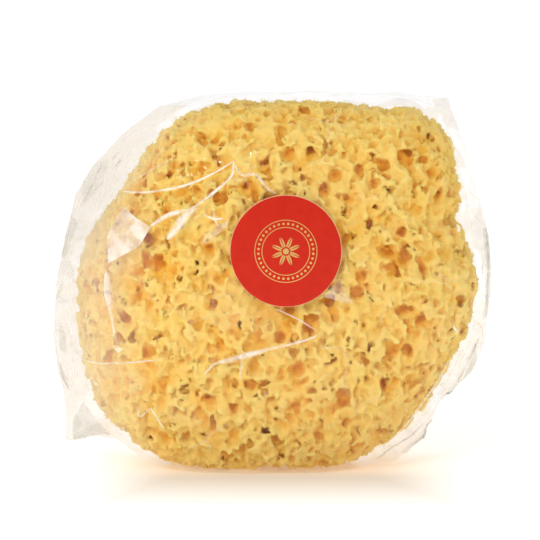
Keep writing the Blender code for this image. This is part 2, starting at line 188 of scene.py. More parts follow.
# %% Guide lines down the middle of each canal
CANALS_MM = (
    (-22, 111, 1.8), (-11, 97, 2.5), (-20, 93, 2.5), (-44, 79, 2.5), (-41, 71, 3.2),
    (-23, 76, 2.1), (-19, 120, 2.1), (4, 107, 2.1), (12, 108, 2.5), (28, 102, 2.1),
    (20, 101, 2.1), (44, 107, 3.2), (16, 96, 2.5), (33, 98, 2.1), (-4, 104, 2.5),
    (43, 81, 2.1), (38, 75, 2.8), (44, 73, 2.5), (40, 69, 3.2), (29, 67, 2.5),
    (56, 93, 2.1), (53, 113, 1.8), (-22, 57, 2.1), (-52, 52, 2.1), (-20, 66, 2.1),
    (-9, 30, 2.8), (-24, 25, 2.5), (-15, 22, 2.1), (-35, 21, 1.8), (-38, 32, 1.8),
    (4, 56, 2.1), (13, 53, 2.1), (11, 49, 2.8), (1, 47, 2.5), (7, 35, 2.8),
    (18, 59, 2.5), (28, 61, 2.5), (43, 55, 2.5), (31, 31, 1.8), (23, 27, 2.5),
    (23, 23, 2.1), (6, 22, 2.5), (50, 51, 2.1), (40, 41, 2.1), (45, 41, 2.1),
)
CANAL_DEPTH = 9.0 * MM
CANAL_LEAN = 0.35
MIDDLE_RADIUS = 72.0 * MM


def canal_lines():
    bm = bmesh.new()
    radius = bm.verts.layers.float.new("radius")
    for x_mm, z_mm, radius_mm in CANALS_MM:
        x, z = x_mm * MM, z_mm * MM
        share = min(math.hypot(x, z - MIDDLE_HEIGHT) / MIDDLE_RADIUS, 0.95)
        face = FRONT_DEPTH * (1.0 - share**SQUARENESS) ** (1 / SQUARENESS)
        lean = CANAL_LEAN * CANAL_DEPTH
        outer = bm.verts.new((x, -face - CANAL_DEPTH, z))
        inner = bm.verts.new((x - lean * x / OUTLINE_UNIT, -face + CANAL_DEPTH, z + lean))
        for end in (outer, inner):
            end[radius] = radius_mm * MM
        bm.edges.new((outer, inner))
    mesh = bpy.data.meshes.new("sponge_body")
    bm.to_mesh(mesh)
    bm.free()
    return mesh


print("canals on the front:", len(CANALS_MM))

# %% Formulas for the voids
CLEFT_START = (72.0 * MM, 87.0 * MM)
CLEFT_END = (24.0 * MM, 86.0 * MM)
CLEFT_DEPTH = 3.2 * MM
CLEFT_WIDTH = 3.0 * MM
CLEFT_FADE = 0.75


def warped(tree, position, size, push):
    """The position pushed about by noise."""
    noise = pattern(tree, "ShaderNodeTexNoise", position, size, Detail=1.0)
    centred = tree.nodes.new("ShaderNodeVectorMath")
    centred.operation = "SUBTRACT"
    centred.inputs[1].default_value = (0.5, 0.5, 0.5)
    tree.links.new(noise.outputs["Color"], centred.inputs[0])
    moved = tree.nodes.new("ShaderNodeVectorMath")
    moved.operation = "MULTIPLY_ADD"
    moved.inputs[1].default_value = (2 * push,) * 3
    tree.links.new(centred.outputs[0], moved.inputs[0])
    tree.links.new(position, moved.inputs[2])
    return moved.outputs[0]


def cleft_depth(x, z):
    """How deep the cleft cuts: a soft groove along a line, shallower as it goes."""
    run_x = CLEFT_END[0] - CLEFT_START[0]
    run_z = CLEFT_END[1] - CLEFT_START[1]
    along = ((x - CLEFT_START[0]) * run_x + (z - CLEFT_START[1]) * run_z) / (run_x**2 + run_z**2)
    along = along.clamped()
    off_x = x - CLEFT_START[0] - along * run_x
    off_z = z - CLEFT_START[1] - along * run_z
    off = (off_x * off_x + off_z * off_z) / CLEFT_WIDTH**2
    return (off * -1.0).math("EXPONENT") * (along * -CLEFT_FADE + 1.0) * CLEFT_DEPTH


def canal_clearance(tree, lines, position):
    """The distance from a point to the wall of the nearest canal, negative inside it."""
    near = tree.nodes.new("GeometryNodeProximity")
    near.target_element = "EDGES"
    tree.links.new(lines, near.inputs[0])
    tree.links.new(position, near.inputs["Sample Position"])
    nearest = tree.nodes.new("GeometryNodeSampleNearest")
    tree.links.new(lines, nearest.inputs["Geometry"])
    tree.links.new(position, nearest.inputs["Sample Position"])
    radius = tree.nodes.new("GeometryNodeInputNamedAttribute")
    radius.data_type = "FLOAT"
    radius.inputs["Name"].default_value = "radius"
    sample = tree.nodes.new("GeometryNodeSampleIndex")
    sample.data_type = "FLOAT"
    sample.domain = "POINT"
    tree.links.new(lines, sample.inputs["Geometry"])
    tree.links.new(radius.outputs["Attribute"], sample.inputs["Value"])
    tree.links.new(nearest.outputs["Index"], sample.inputs["Index"])
    return Field(tree, near.outputs["Distance"]) - Field(tree, sample.outputs["Value"])


print("void formulas are ready; the cleft is", round(CLEFT_DEPTH / MM, 1), "mm deep at its mouth")

# %% The tree that grows the sponge
# Each: cell size, where the bowl starts and ends as shares of the cell, its depth, and for a
# share of the cells a hole with steep walls, and its depth.
BOWLS = (
    (8.4 * MM, 0.64, 0.20, 1.5 * MM, 0.0, 0.0),
    (4.4 * MM, 0.60, 0.22, 1.4 * MM, 0.15, 3.3 * MM),
    (2.5 * MM, 0.60, 0.25, 1.4 * MM, 0.22, 1.5 * MM),
)
HOLE_WALL = (0.03, 0.24)
UPRIGHT = 1.3
COMBED = 3.0
CANAL_SINK = 4.6 * MM
CANAL_LIP = 0.7 * MM
CANAL_CORE = -2.2 * MM
DEEPEST_SINK = 4.9 * MM
SINK_ROUNDING = 1.5 * MM
# How the space is pushed about before it is cut: the size of the noise and how far it pushes.
BEND = (9.0 * MM, 2.6 * MM)
FRAY = (2.8 * MM, 1.2 * MM)
CANAL_FRAY = (3.4 * MM, 1.5 * MM)
LUMP_SIZE = 15.0 * MM
RAGGED_SIZE = 2.6 * MM
RAGGED_RANGE = (0.35, 0.7)
FIBRE_SIZE = 1.7 * MM
GRID_LOW = (-82 * MM, -40 * MM, -4 * MM)
GRID_HIGH = (82 * MM, 36 * MM, 136 * MM)


def add_input(tree, name, value):
    socket = tree.interface.new_socket(name=name, in_out="INPUT", socket_type="NodeSocketFloat")
    socket.default_value = value
    return socket


def growth_tree():
    tree = bpy.data.node_groups.new("grow sponge", "GeometryNodeTree")
    tree.interface.new_socket(name="Canals", in_out="INPUT", socket_type="NodeSocketGeometry")
    add_input(tree, "Grid step", 0.8 * MM)
    add_input(tree, "Lump height", 2.0 * MM)
    add_input(tree, "Ragged height", 1.5 * MM)
    tree.interface.new_socket(name="Sponge", in_out="OUTPUT", socket_type="NodeSocketGeometry")
    given = tree.nodes.new("NodeGroupInput")
    step, lump_height, ragged_height = (Field(tree, s) for s in given.outputs[1:4])

    place = tree.nodes.new("GeometryNodeInputPosition").outputs[0]
    split = tree.nodes.new("ShaderNodeSeparateXYZ")
    tree.links.new(place, split.inputs[0])
    x, y, z = (Field(tree, socket) for socket in split.outputs)
    bent = warped(tree, place, *BEND)
    lumps = pattern(tree, "ShaderNodeTexNoise", place, LUMP_SIZE, Detail=2.0)
    skin = form_depth(tree, x, y, z) - Field(tree, lumps.outputs["Fac"]) * lump_height
    skin = skin - cleft_depth(x, z)
    frayed = warped(tree, bent, *FRAY)
    drawn_up = tree.nodes.new("ShaderNodeVectorMath")
    drawn_up.operation = "MULTIPLY"
    drawn_up.inputs[1].default_value = (1.0, 1.0, 1.0 / UPRIGHT)
    tree.links.new(frayed, drawn_up.inputs[0])
    canal_place = warped(tree, place, *CANAL_FRAY)
    canal = canal_clearance(tree, given.outputs[0], canal_place)
    sunk = canal.between(CANAL_LIP, CANAL_CORE) * CANAL_SINK
    for size, start, end, sink, chance, hole_sink in BOWLS:
        cells = pattern(tree, "ShaderNodeTexVoronoi", drawn_up.outputs[0], size)
        sunk = sunk + Field(tree, cells.outputs["Distance"]).between(start, end) * sink
        if chance:
            lot = tree.nodes.new("ShaderNodeSeparateXYZ")
            tree.links.new(cells.outputs["Color"], lot.inputs[0])
            is_hole = Field(tree, lot.outputs[0]).math("LESS_THAN", chance)
            wall = pattern(tree, "ShaderNodeTexVoronoi", drawn_up.outputs[0], size)
            wall.feature = "DISTANCE_TO_EDGE"
            hole = Field(tree, wall.outputs["Distance"]).between(*HOLE_WALL) * is_hole
            sunk = sunk + hole * hole_sink
    solid = skin - sunk.math("SMOOTH_MIN", DEEPEST_SINK, SINK_ROUNDING)
    ragged = pattern(tree, "ShaderNodeTexNoise", place, RAGGED_SIZE, Detail=3.0, Roughness=0.55)
    solid = solid - Field(tree, ragged.outputs["Fac"]).between(*RAGGED_RANGE) * ragged_height
    combed = tree.nodes.new("ShaderNodeVectorMath")
    combed.operation = "MULTIPLY"
    combed.inputs[1].default_value = (1.0, 1.0, 1.0 / COMBED)
    tree.links.new(bent, combed.inputs[0])
    fibres = pattern(tree, "ShaderNodeTexNoise", combed.outputs[0], FIBRE_SIZE, Detail=1.0)
    solid = solid - (Field(tree, fibres.outputs["Fac"]) - 0.5) * ragged_height
    solid = solid.math("MINIMUM", z - FOOT_FLAT)

    cube = tree.nodes.new("GeometryNodeVolumeCube")
    cube.inputs["Min"].default_value = GRID_LOW
    cube.inputs["Max"].default_value = GRID_HIGH
    for axis, low, high in zip("XYZ", GRID_LOW, GRID_HIGH):
        count = (step.math("MAXIMUM", 0.1 * MM) ** -1.0 * (high - low)).math("ROUND")
        tree.links.new(count.socket, cube.inputs[f"Resolution {axis}"])
    tree.links.new((solid / (step * 4.0) + 0.5).clamped().socket, cube.inputs["Density"])
    skin_mesh = tree.nodes.new("GeometryNodeVolumeToMesh")
    skin_mesh.inputs["Threshold"].default_value = 0.5
    tree.links.new(cube.outputs[0], skin_mesh.inputs["Volume"])
    # The depth under the smooth skin is kept for the fibre's painted pit shade.
    depth = tree.nodes.new("GeometryNodeStoreNamedAttribute")
    depth.data_type = "FLOAT"
    depth.domain = "POINT"
    depth.inputs["Name"].default_value = "depth"
    tree.links.new(skin_mesh.outputs[0], depth.inputs["Geometry"])
    tree.links.new((skin / MM).socket, depth.inputs["Value"])
    real = tree.nodes.new("GeometryNodeRealizeInstances")
    tree.links.new(depth.outputs[0], real.inputs[0])
    dressed = tree.nodes.new("GeometryNodeSetMaterial")
    tree.links.new(real.outputs[0], dressed.inputs["Geometry"])
    out = tree.nodes.new("NodeGroupOutput")
    tree.links.new(dressed.outputs[0], out.inputs[0])
    return tree, dressed


print("bowl sizes in mm:", [round(size / MM, 1) for size, *_ in BOWLS])

# %% [markdown]
# ## Sponge fibre
# Dry spongin is pale and creamy, and light soaks into it. Its colour ramp paints shade into the pits:
# creamy on the ridges, golden a little below, and amber to brown down in the pits. The tree has stored
# how deep each point lies under the outer skin, so the painted shade can follow the pits themselves.
# Noise breaks the ramp up, and a fine bump gives the felt that is too small for the mesh.

# %% Material of the sponge
# Painted shade: the fibre's colour darkens from the ridges down into the pits, by depth under the outer
# skin.
RIDGE_TO_PIT_SHADE = (
    (0.00, (0.885, 0.660, 0.205)),
    (0.30, (0.870, 0.590, 0.135)),
    (0.50, (0.850, 0.460, 0.050)),
    (0.68, (0.760, 0.310, 0.020)),
    (0.95, (0.600, 0.170, 0.008)),
)
DEEPEST_MM = 8.0
# What breaks the colour up: the size of the noise, its detail and how far it shifts the ramp.
COLOUR_NOISES = ((26.0 * MM, 1.0, 0.30), (6.0 * MM, 3.0, 0.20), (1.1 * MM, 3.0, 0.22))
LIGHT_REACH = 3.0 * MM
FELT_SIZE = 0.7 * MM
FELT_HEIGHT = 0.25 * MM


def ramp_node(tree, stops):
    node = tree.nodes.new("ShaderNodeValToRGB")
    elements = node.color_ramp.elements
    elements[0].position, elements[0].color = stops[0][0], (*stops[0][1], 1.0)
    elements[1].position, elements[1].color = stops[-1][0], (*stops[-1][1], 1.0)
    for place, colour in stops[1:-1]:
        elements.new(place).color = (*colour, 1.0)
    return node


def object_position(tree):
    return tree.nodes.new("ShaderNodeTexCoord").outputs["Object"]


def sponge_fibre():
    material = bpy.data.materials.new("sponge fibre")
    material.use_nodes = True
    tree = material.node_tree
    shader = tree.nodes["Principled BSDF"]
    place = object_position(tree)
    # Painted shade in the pits: the ramp follows the stored depth.
    stored = tree.nodes.new("ShaderNodeAttribute")
    stored.attribute_name = "depth"
    depth = Field(tree, stored.outputs["Fac"]) / DEEPEST_MM
    for size, detail, shift in COLOUR_NOISES:
        noise = pattern(tree, "ShaderNodeTexNoise", place, size, Detail=detail)
        depth = depth + (Field(tree, noise.outputs["Fac"]) - 0.5) * shift
    ramp = ramp_node(tree, RIDGE_TO_PIT_SHADE)
    tree.links.new(depth.clamped().socket, ramp.inputs[0])
    tree.links.new(ramp.outputs[0], shader.inputs["Base Color"])
    shader.inputs["Roughness"].default_value = 0.85
    shader.inputs["Specular IOR Level"].default_value = 0.2
    shader.inputs["Subsurface Weight"].default_value = 0.45
    shader.inputs["Subsurface Radius"].default_value = (1.0, 0.5, 0.16)
    shader.inputs["Subsurface Scale"].default_value = LIGHT_REACH
    felt = pattern(tree, "ShaderNodeTexNoise", place, FELT_SIZE, Detail=4.0)
    bump = tree.nodes.new("ShaderNodeBump")
    bump.inputs["Strength"].default_value = 0.5
    bump.inputs["Distance"].default_value = FELT_HEIGHT
    tree.links.new(felt.outputs["Fac"], bump.inputs["Height"])
    tree.links.new(bump.outputs["Normal"], shader.inputs["Normal"])
    return material


FIBRE = sponge_fibre()
print("fibre ramp stops:", len(RIDGE_TO_PIT_SHADE))

# %% Grow the sponge's skin
GRID_STEP = 0.62 * MM
SKIN_TRIANGLES = 380000
HALF_SPLIT = -1.0 * MM


def set_input(modifier, name, value):
    """Sets a Geometry Nodes modifier's input by its socket's identifier."""
    for item in modifier.node_group.interface.items_tree:
        if item.item_type == "SOCKET" and item.in_out == "INPUT" and item.name == name:
            modifier[item.identifier] = value
            return
    raise KeyError(name)


def plain_mesh(piece):
    """Puts the evaluated result of a piece's modifiers in its place."""
    bpy.context.view_layer.update()
    graph = bpy.context.evaluated_depsgraph_get()
    mesh = bpy.data.meshes.new_from_object(piece.evaluated_get(graph))
    piece.modifiers.clear()
    old = piece.data
    piece.data = mesh
    mesh.name = piece.name
    bpy.data.meshes.remove(old)
    return mesh


def add_piece(name, mesh):
    piece = bpy.data.objects.new(name, mesh)
    bpy.context.scene.collection.objects.link(piece)
    return piece


def count_triangles(mesh):
    return sum(len(polygon.vertices) - 2 for polygon in mesh.polygons)


def largest_island(mesh):
    """Which vertices are on the largest connected part; the rest are closed voids inside."""
    ends = np.empty(len(mesh.edges) * 2, np.int64)
    mesh.edges.foreach_get("vertices", ends)
    ends = ends.reshape(-1, 2)
    label = np.arange(len(mesh.vertices))
    while True:
        lowest = np.minimum(label[ends[:, 0]], label[ends[:, 1]])
        before = label.copy()
        np.minimum.at(label, ends[:, 0], lowest)
        np.minimum.at(label, ends[:, 1], lowest)
        label = label[label]
        if np.array_equal(before, label):
            break
    names, sizes = np.unique(label, return_counts=True)
    return label == names[np.argmax(sizes)]


def without_vertices(mesh, dropped):
    bm = bmesh.new()
    bm.from_mesh(mesh)
    bmesh.ops.delete(bm, geom=[v for v, drop in zip(bm.verts, dropped) if drop], context="VERTS")
    bm.to_mesh(mesh)
    bm.free()


def half_of(mesh, name, front):
    """The front or the back half of the skin; the two meet along shared vertices."""
    half = mesh.copy()
    half.name = name
    bm = bmesh.new()
    bm.from_mesh(half)
    other = [face for face in bm.faces if (face.calc_center_median().y < HALF_SPLIT) != front]
    bmesh.ops.delete(bm, geom=other, context="FACES")
    bm.to_mesh(half)
    bm.free()
    return half


whole = add_piece("sponge_skin", canal_lines())
tree, dressed = growth_tree()
dressed.inputs["Material"].default_value = FIBRE
grow = whole.modifiers.new("grow", "NODES")
grow.node_group = tree
set_input(grow, "Grid step", GRID_STEP)
skin = plain_mesh(whole)
without_vertices(skin, ~largest_island(skin))
print("grown:", count_triangles(skin), "triangles")
thin = whole.modifiers.new("thin", "DECIMATE")
thin.ratio = min(1.0, SKIN_TRIANGLES / count_triangles(skin))
skin = plain_mesh(whole)
skin.shade_smooth()
for name, front in (("sponge_front", True), ("sponge_back", False)):
    half = add_piece(name, half_of(skin, name, front))
    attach(half, "root")
    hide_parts("sponge")
    print(name, count_triangles(half.data), "triangles")

# %% [markdown]
# ## Tufts
# The skin of a dry sponge isn't smooth: the ends of its fibres stand out in small bent tufts, which
# fuzz its edge. Points scattered over the skin each get one, leaning at random from the surface.
# They carry the skin's stored depth, so that they take the colour of the place where they grow.

# %% Grow the tufts
TUFT_SIDES = 3


def tuft_mesh():
    """A bent three-sided spike, one unit long and one unit wide at its foot."""
    points = []
    for width, lean, height in ((0.5, 0.0, -0.15), (0.30, 0.10, 0.55)):
        for k in range(TUFT_SIDES):
            angle = TURN * k / TUFT_SIDES
            points.append((lean + width * math.cos(angle), width * math.sin(angle), height))
    points.append((0.35, 0.0, 1.0))
    tip = len(points) - 1
    faces = []
    for k in range(TUFT_SIDES):
        j = (k + 1) % TUFT_SIDES
        faces += [(k, j, j + TUFT_SIDES, k + TUFT_SIDES), (k + TUFT_SIDES, j + TUFT_SIDES, tip)]
    mesh = bpy.data.meshes.new("tuft")
    mesh.from_pydata(points, [], faces)
    return mesh


def tuft_tree(tuft):
    tree = bpy.data.node_groups.new("grow tufts", "GeometryNodeTree")
    tree.interface.new_socket(name="Skin", in_out="INPUT", socket_type="NodeSocketGeometry")
    add_input(tree, "Density", 200000.0)
    add_input(tree, "Length", 1.0 * MM)
    add_input(tree, "Thickness", 0.4 * MM)
    tree.interface.new_socket(name="Tufts", in_out="OUTPUT", socket_type="NodeSocketGeometry")
    given = tree.nodes.new("NodeGroupInput")
    length, thickness = (Field(tree, socket) for socket in given.outputs[2:4])
    scatter = tree.nodes.new("GeometryNodeDistributePointsOnFaces")
    tree.links.new(given.outputs[0], scatter.inputs["Mesh"])
    tree.links.new(given.outputs[1], scatter.inputs["Density"])
    place = tree.nodes.new("GeometryNodeInputPosition").outputs[0]
    split = tree.nodes.new("ShaderNodeSeparateXYZ")
    tree.links.new(place, split.inputs[0])
    clear_of_floor = Field(tree, split.outputs[2]).math("GREATER_THAN", 2.0 * MM)
    tree.links.new(clear_of_floor.socket, scatter.inputs["Selection"])
    scatter.inputs["Seed"].default_value = 4
    lean = tree.nodes.new("FunctionNodeRandomValue")
    lean.data_type = "FLOAT_VECTOR"
    lean.inputs["Min"].default_value = (-0.7, -0.7, 0.0)
    lean.inputs["Max"].default_value = (0.7, 0.7, TURN)
    lean.inputs["Seed"].default_value = 9
    turned = tree.nodes.new("FunctionNodeRotateRotation")
    turned.rotation_space = "LOCAL"
    tree.links.new(scatter.outputs["Rotation"], turned.inputs["Rotation"])
    tree.links.new(lean.outputs["Value"], turned.inputs["Rotate By"])
    grade = tree.nodes.new("FunctionNodeRandomValue")
    grade.data_type = "FLOAT"
    grade.inputs[2].default_value = 0.5
    grade.inputs[3].default_value = 1.4
    grade.inputs["Seed"].default_value = 2
    grown = Field(tree, grade.outputs[1])
    scale = tree.nodes.new("ShaderNodeCombineXYZ")
    tree.links.new(thickness.socket, scale.inputs[0])
    tree.links.new(thickness.socket, scale.inputs[1])
    tree.links.new((length * grown).socket, scale.inputs[2])
    shape = tree.nodes.new("GeometryNodeObjectInfo")
    shape.inputs["Object"].default_value = tuft
    plant = tree.nodes.new("GeometryNodeInstanceOnPoints")
    tree.links.new(scatter.outputs["Points"], plant.inputs["Points"])
    tree.links.new(shape.outputs["Geometry"], plant.inputs["Instance"])
    tree.links.new(turned.outputs[0], plant.inputs["Rotation"])
    tree.links.new(scale.outputs[0], plant.inputs["Scale"])
    real = tree.nodes.new("GeometryNodeRealizeInstances")
    tree.links.new(plant.outputs[0], real.inputs[0])
    dressed = tree.nodes.new("GeometryNodeSetMaterial")
    tree.links.new(real.outputs[0], dressed.inputs["Geometry"])
    dressed.inputs["Material"].default_value = FIBRE
    out = tree.nodes.new("NodeGroupOutput")
    tree.links.new(dressed.outputs[0], out.inputs[0])
    return tree


tuft = add_piece("tuft", tuft_mesh())
plant = whole.modifiers.new("tufts", "NODES")
plant.node_group = tuft_tree(tuft)
set_input(plant, "Density", 285000.0)
set_input(plant, "Length", 1.1 * MM)
set_input(plant, "Thickness", 0.24 * MM)
whole.name = "sponge_tufts"
tufts = plain_mesh(whole)
bpy.data.objects.remove(tuft)
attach(whole, "root")
print("tufts:", count_triangles(tufts), "triangles")

# %% [markdown]
# ## The film bag
# Thin clear film is pulled over the sponge like a skin. On the front and the back it lies on the
# widest parts and bridges the hollows; past the sponge's edge the two sheets run straight to the
# bag's rim, which is flared at the corners. Each ray from the middle has such a section, so the
# sheet is a ring of sections, dense enough to be creased afterwards.

# %% The bag's edge and the film's sections
BAG_EDGE_MM = (
    (75.0, 63.0), (73.5, 81.5), (70.0, 94.5), (66.0, 110.0), (59.0, 128.4), (18.5, 129.6),
    (-9.5, 130.2), (-25.0, 129.0), (-41.0, 125.0), (-53.0, 116.0), (-63.5, 105.0), (-70.0, 94.5),
    (-74.0, 79.0), (-77.0, 63.0), (-78.0, 46.0), (-77.0, 34.0), (-74.5, 25.0), (-74.0, 7.5),
    (-63.5, 9.5), (-56.5, 8.5), (-50.0, 3.6), (-42.0, 0.0), (-27.0, -1.0), (32.0, -1.0),
    (42.0, 0.6), (51.5, 9.0), (56.5, 21.0), (69.0, 33.0), (73.0, 44.0),
)
FILM_GAP = 1.2 * MM
RIM_HALF_GAP = 0.5 * MM
REACH_BESIDE = TURN / 80
PROFILE_STEPS = 90
FLOOR_CLEARANCE = 0.1 * MM

MAPPING = next(node for node in tree.nodes if node.bl_idname == "ShaderNodeFloatCurve").mapping


def outline_radius(angle):
    return MAPPING.evaluate(MAPPING.curves[0], (angle / TURN) % 1.0) * OUTLINE_UNIT


def rim_radius(angle):
    """Where a ray from the middle crosses the bag's edge."""
    ray = (math.cos(angle), math.sin(angle))
    corners = [(x * MM, z * MM - MIDDLE_HEIGHT) for x, z in BAG_EDGE_MM]
    for (ax, az), (bx, bz) in zip(corners, corners[1:] + corners[:1]):
        side_a = ray[0] * az - ray[1] * ax
        side_b = ray[0] * bz - ray[1] * bx
        if side_a <= 0.0 < side_b and ray[0] * ax + ray[1] * az > 0.0:
            share = side_a / (side_a - side_b)
            return math.hypot(ax + share * (bx - ax), az + share * (bz - az))
    raise ValueError("the bag's edge has to run once round the middle, anticlockwise")


def film_section(angle, side):
    """The film's section along a ray: rows of radius, depth and how free of the sponge it is."""
    radius = max(outline_radius(angle + step) for step in (-REACH_BESIDE, 0.0, REACH_BESIDE))
    half_depth = FRONT_DEPTH if side < 0 else BACK_DEPTH
    turn = np.linspace(0.0, math.pi / 2, PROFILE_STEPS)
    across = radius * np.sin(turn) ** (2 / SQUARENESS)
    through = half_depth * np.cos(turn) ** (2 / SQUARENESS)
    normal = np.stack([
        (across / radius) ** (SQUARENESS - 1) / radius,
        (through / half_depth) ** (SQUARENESS - 1) / half_depth,
    ], axis=1)
    normal /= np.linalg.norm(normal, axis=1)[:, None]
    lying = np.stack([across, through], axis=1) + normal * FILM_GAP
    end = np.array([max(rim_radius(angle), radius + FILM_GAP), RIM_HALF_GAP])
    reach = lying - end
    rise = np.arctan2(reach[:, 1], -reach[:, 0])
    rise[lying[:, 0] > end[0] - MM] = -1.0
    tangent = int(np.argmax(rise))
    free = np.linspace(0.0, 1.0, PROFILE_STEPS // 2)[1:, None]
    rows = np.vstack([lying[: tangent + 1], lying[tangent] + (end - lying[tangent]) * free])
    loose = np.concatenate([np.zeros(tangent + 1), free[:, 0]])
    return np.column_stack([rows, loose])


def evenly(rows, count):
    """A section's rows at equal steps along it."""
    length = np.linalg.norm(np.diff(rows[:, :2], axis=0), axis=1)
    at = np.concatenate([[0.0], np.cumsum(length)])
    wanted = np.linspace(0.0, at[-1], count + 1)
    return np.stack([np.interp(wanted, at, rows[:, i]) for i in range(rows.shape[1])], axis=1)


def film_rows(angle, side, count):
    """Points of the film along a ray, with how free each is; none lies under the floor."""
    rows = evenly(film_section(angle, side), count)
    x = rows[:, 0] * math.cos(angle)
    z = np.maximum(rows[:, 0] * math.sin(angle) + MIDDLE_HEIGHT, FLOOR_CLEARANCE)
    return np.stack([x, side * rows[:, 1], z, rows[:, 2]], axis=1)


print("bag edge corners:", len(BAG_EDGE_MM))

# %% Lay the sheet out
FILM_TURNS = 420
FRONT_RINGS = 112
BACK_RINGS = 78


def film_sheet():
    """One sheet from the front's middle over the rim to the back's middle."""
    angles = [TURN * i / FILM_TURNS for i in range(FILM_TURNS)]
    columns = []
    for angle in angles:
        front = film_rows(angle, -1, FRONT_RINGS)[1:]
        back = film_rows(angle, 1, BACK_RINGS)[1:][::-1]
        columns.append(np.vstack([front, back]))
    rings = len(columns[0])
    grid = np.array(columns)
    points = np.vstack([
        grid[:, :, :3].reshape(-1, 3),
        [(0.0, -FRONT_DEPTH - FILM_GAP, MIDDLE_HEIGHT), (0.0, BACK_DEPTH + FILM_GAP, MIDDLE_HEIGHT)],
    ])
    front_pole, back_pole = len(points) - 2, len(points) - 1
    faces = []
    for i in range(FILM_TURNS):
        here, beside = i * rings, (i + 1) % FILM_TURNS * rings
        faces.append((front_pole, here, beside))
        faces.append((back_pole, beside + rings - 1, here + rings - 1))
        faces += [(here + j, here + j + 1, beside + j + 1, beside + j) for j in range(rings - 1)]
    mesh = bpy.data.meshes.new("film_bag")
    mesh.from_pydata(points.tolist(), [], faces)
    loose = mesh.attributes.new("loose", "FLOAT", "POINT")
    loose.data.foreach_set("value", np.append(grid[:, :, 3].ravel(), [0.0, 0.0]))
    bm = bmesh.new()
    bm.from_mesh(mesh)
    bmesh.ops.recalc_face_normals(bm, faces=bm.faces)
    bm.to_mesh(mesh)
    bm.free()
    return mesh


film = add_piece("film_bag", film_sheet())
print("film sheet:", count_triangles(film.data), "triangles")

# %% [markdown]
# ## Crumples and pleats
# Crisp film doesn't ripple softly: it breaks into flat facets that meet in sharp creases. The distance
# to the edge of a Voronoi cell is just such a roof of flat faces, so it is used as the height of the
# film over the sponge. Where the film is free of the sponge, it gathers in pleats that run out to the
# rim. Under the label the film is stuck flat. The bent position is kept with the mesh, so that the
# finish can paint its crease highlights on the same edges.

# %% The tree that crumples the film
LABEL_X = 2.9 * MM
LABEL_Z = 78.2 * MM
LABEL_RADIUS = 18.7 * MM
STUCK_MARGIN = 7.0 * MM
FILM_BEND = (30.0 * MM, 9.0 * MM)
FACET_SIZE = 22.0 * MM
FINE_FACET_SIZE = 9.0 * MM
PLEAT_SIZE = 0.13
PLEAT_DRIFT = 4.0
FLOOR_MARGIN = 14.0 * MM
RIM_HOLD = 0.7


def store(tree, geometry, name, kind, value):
    node = tree.nodes.new("GeometryNodeStoreNamedAttribute")
    node.data_type = kind
    node.domain = "POINT"
    node.inputs["Name"].default_value = name
    tree.links.new(geometry, node.inputs["Geometry"])
    tree.links.new(value, node.inputs["Value"])
    return node.outputs[0]


def facet_height(tree, position, size):
    """How far a point is from the nearest edge of its cell, as a share of the cell size."""
    cells = pattern(tree, "ShaderNodeTexVoronoi", position, size)
    cells.feature = "DISTANCE_TO_EDGE"
    return Field(tree, cells.outputs["Distance"])


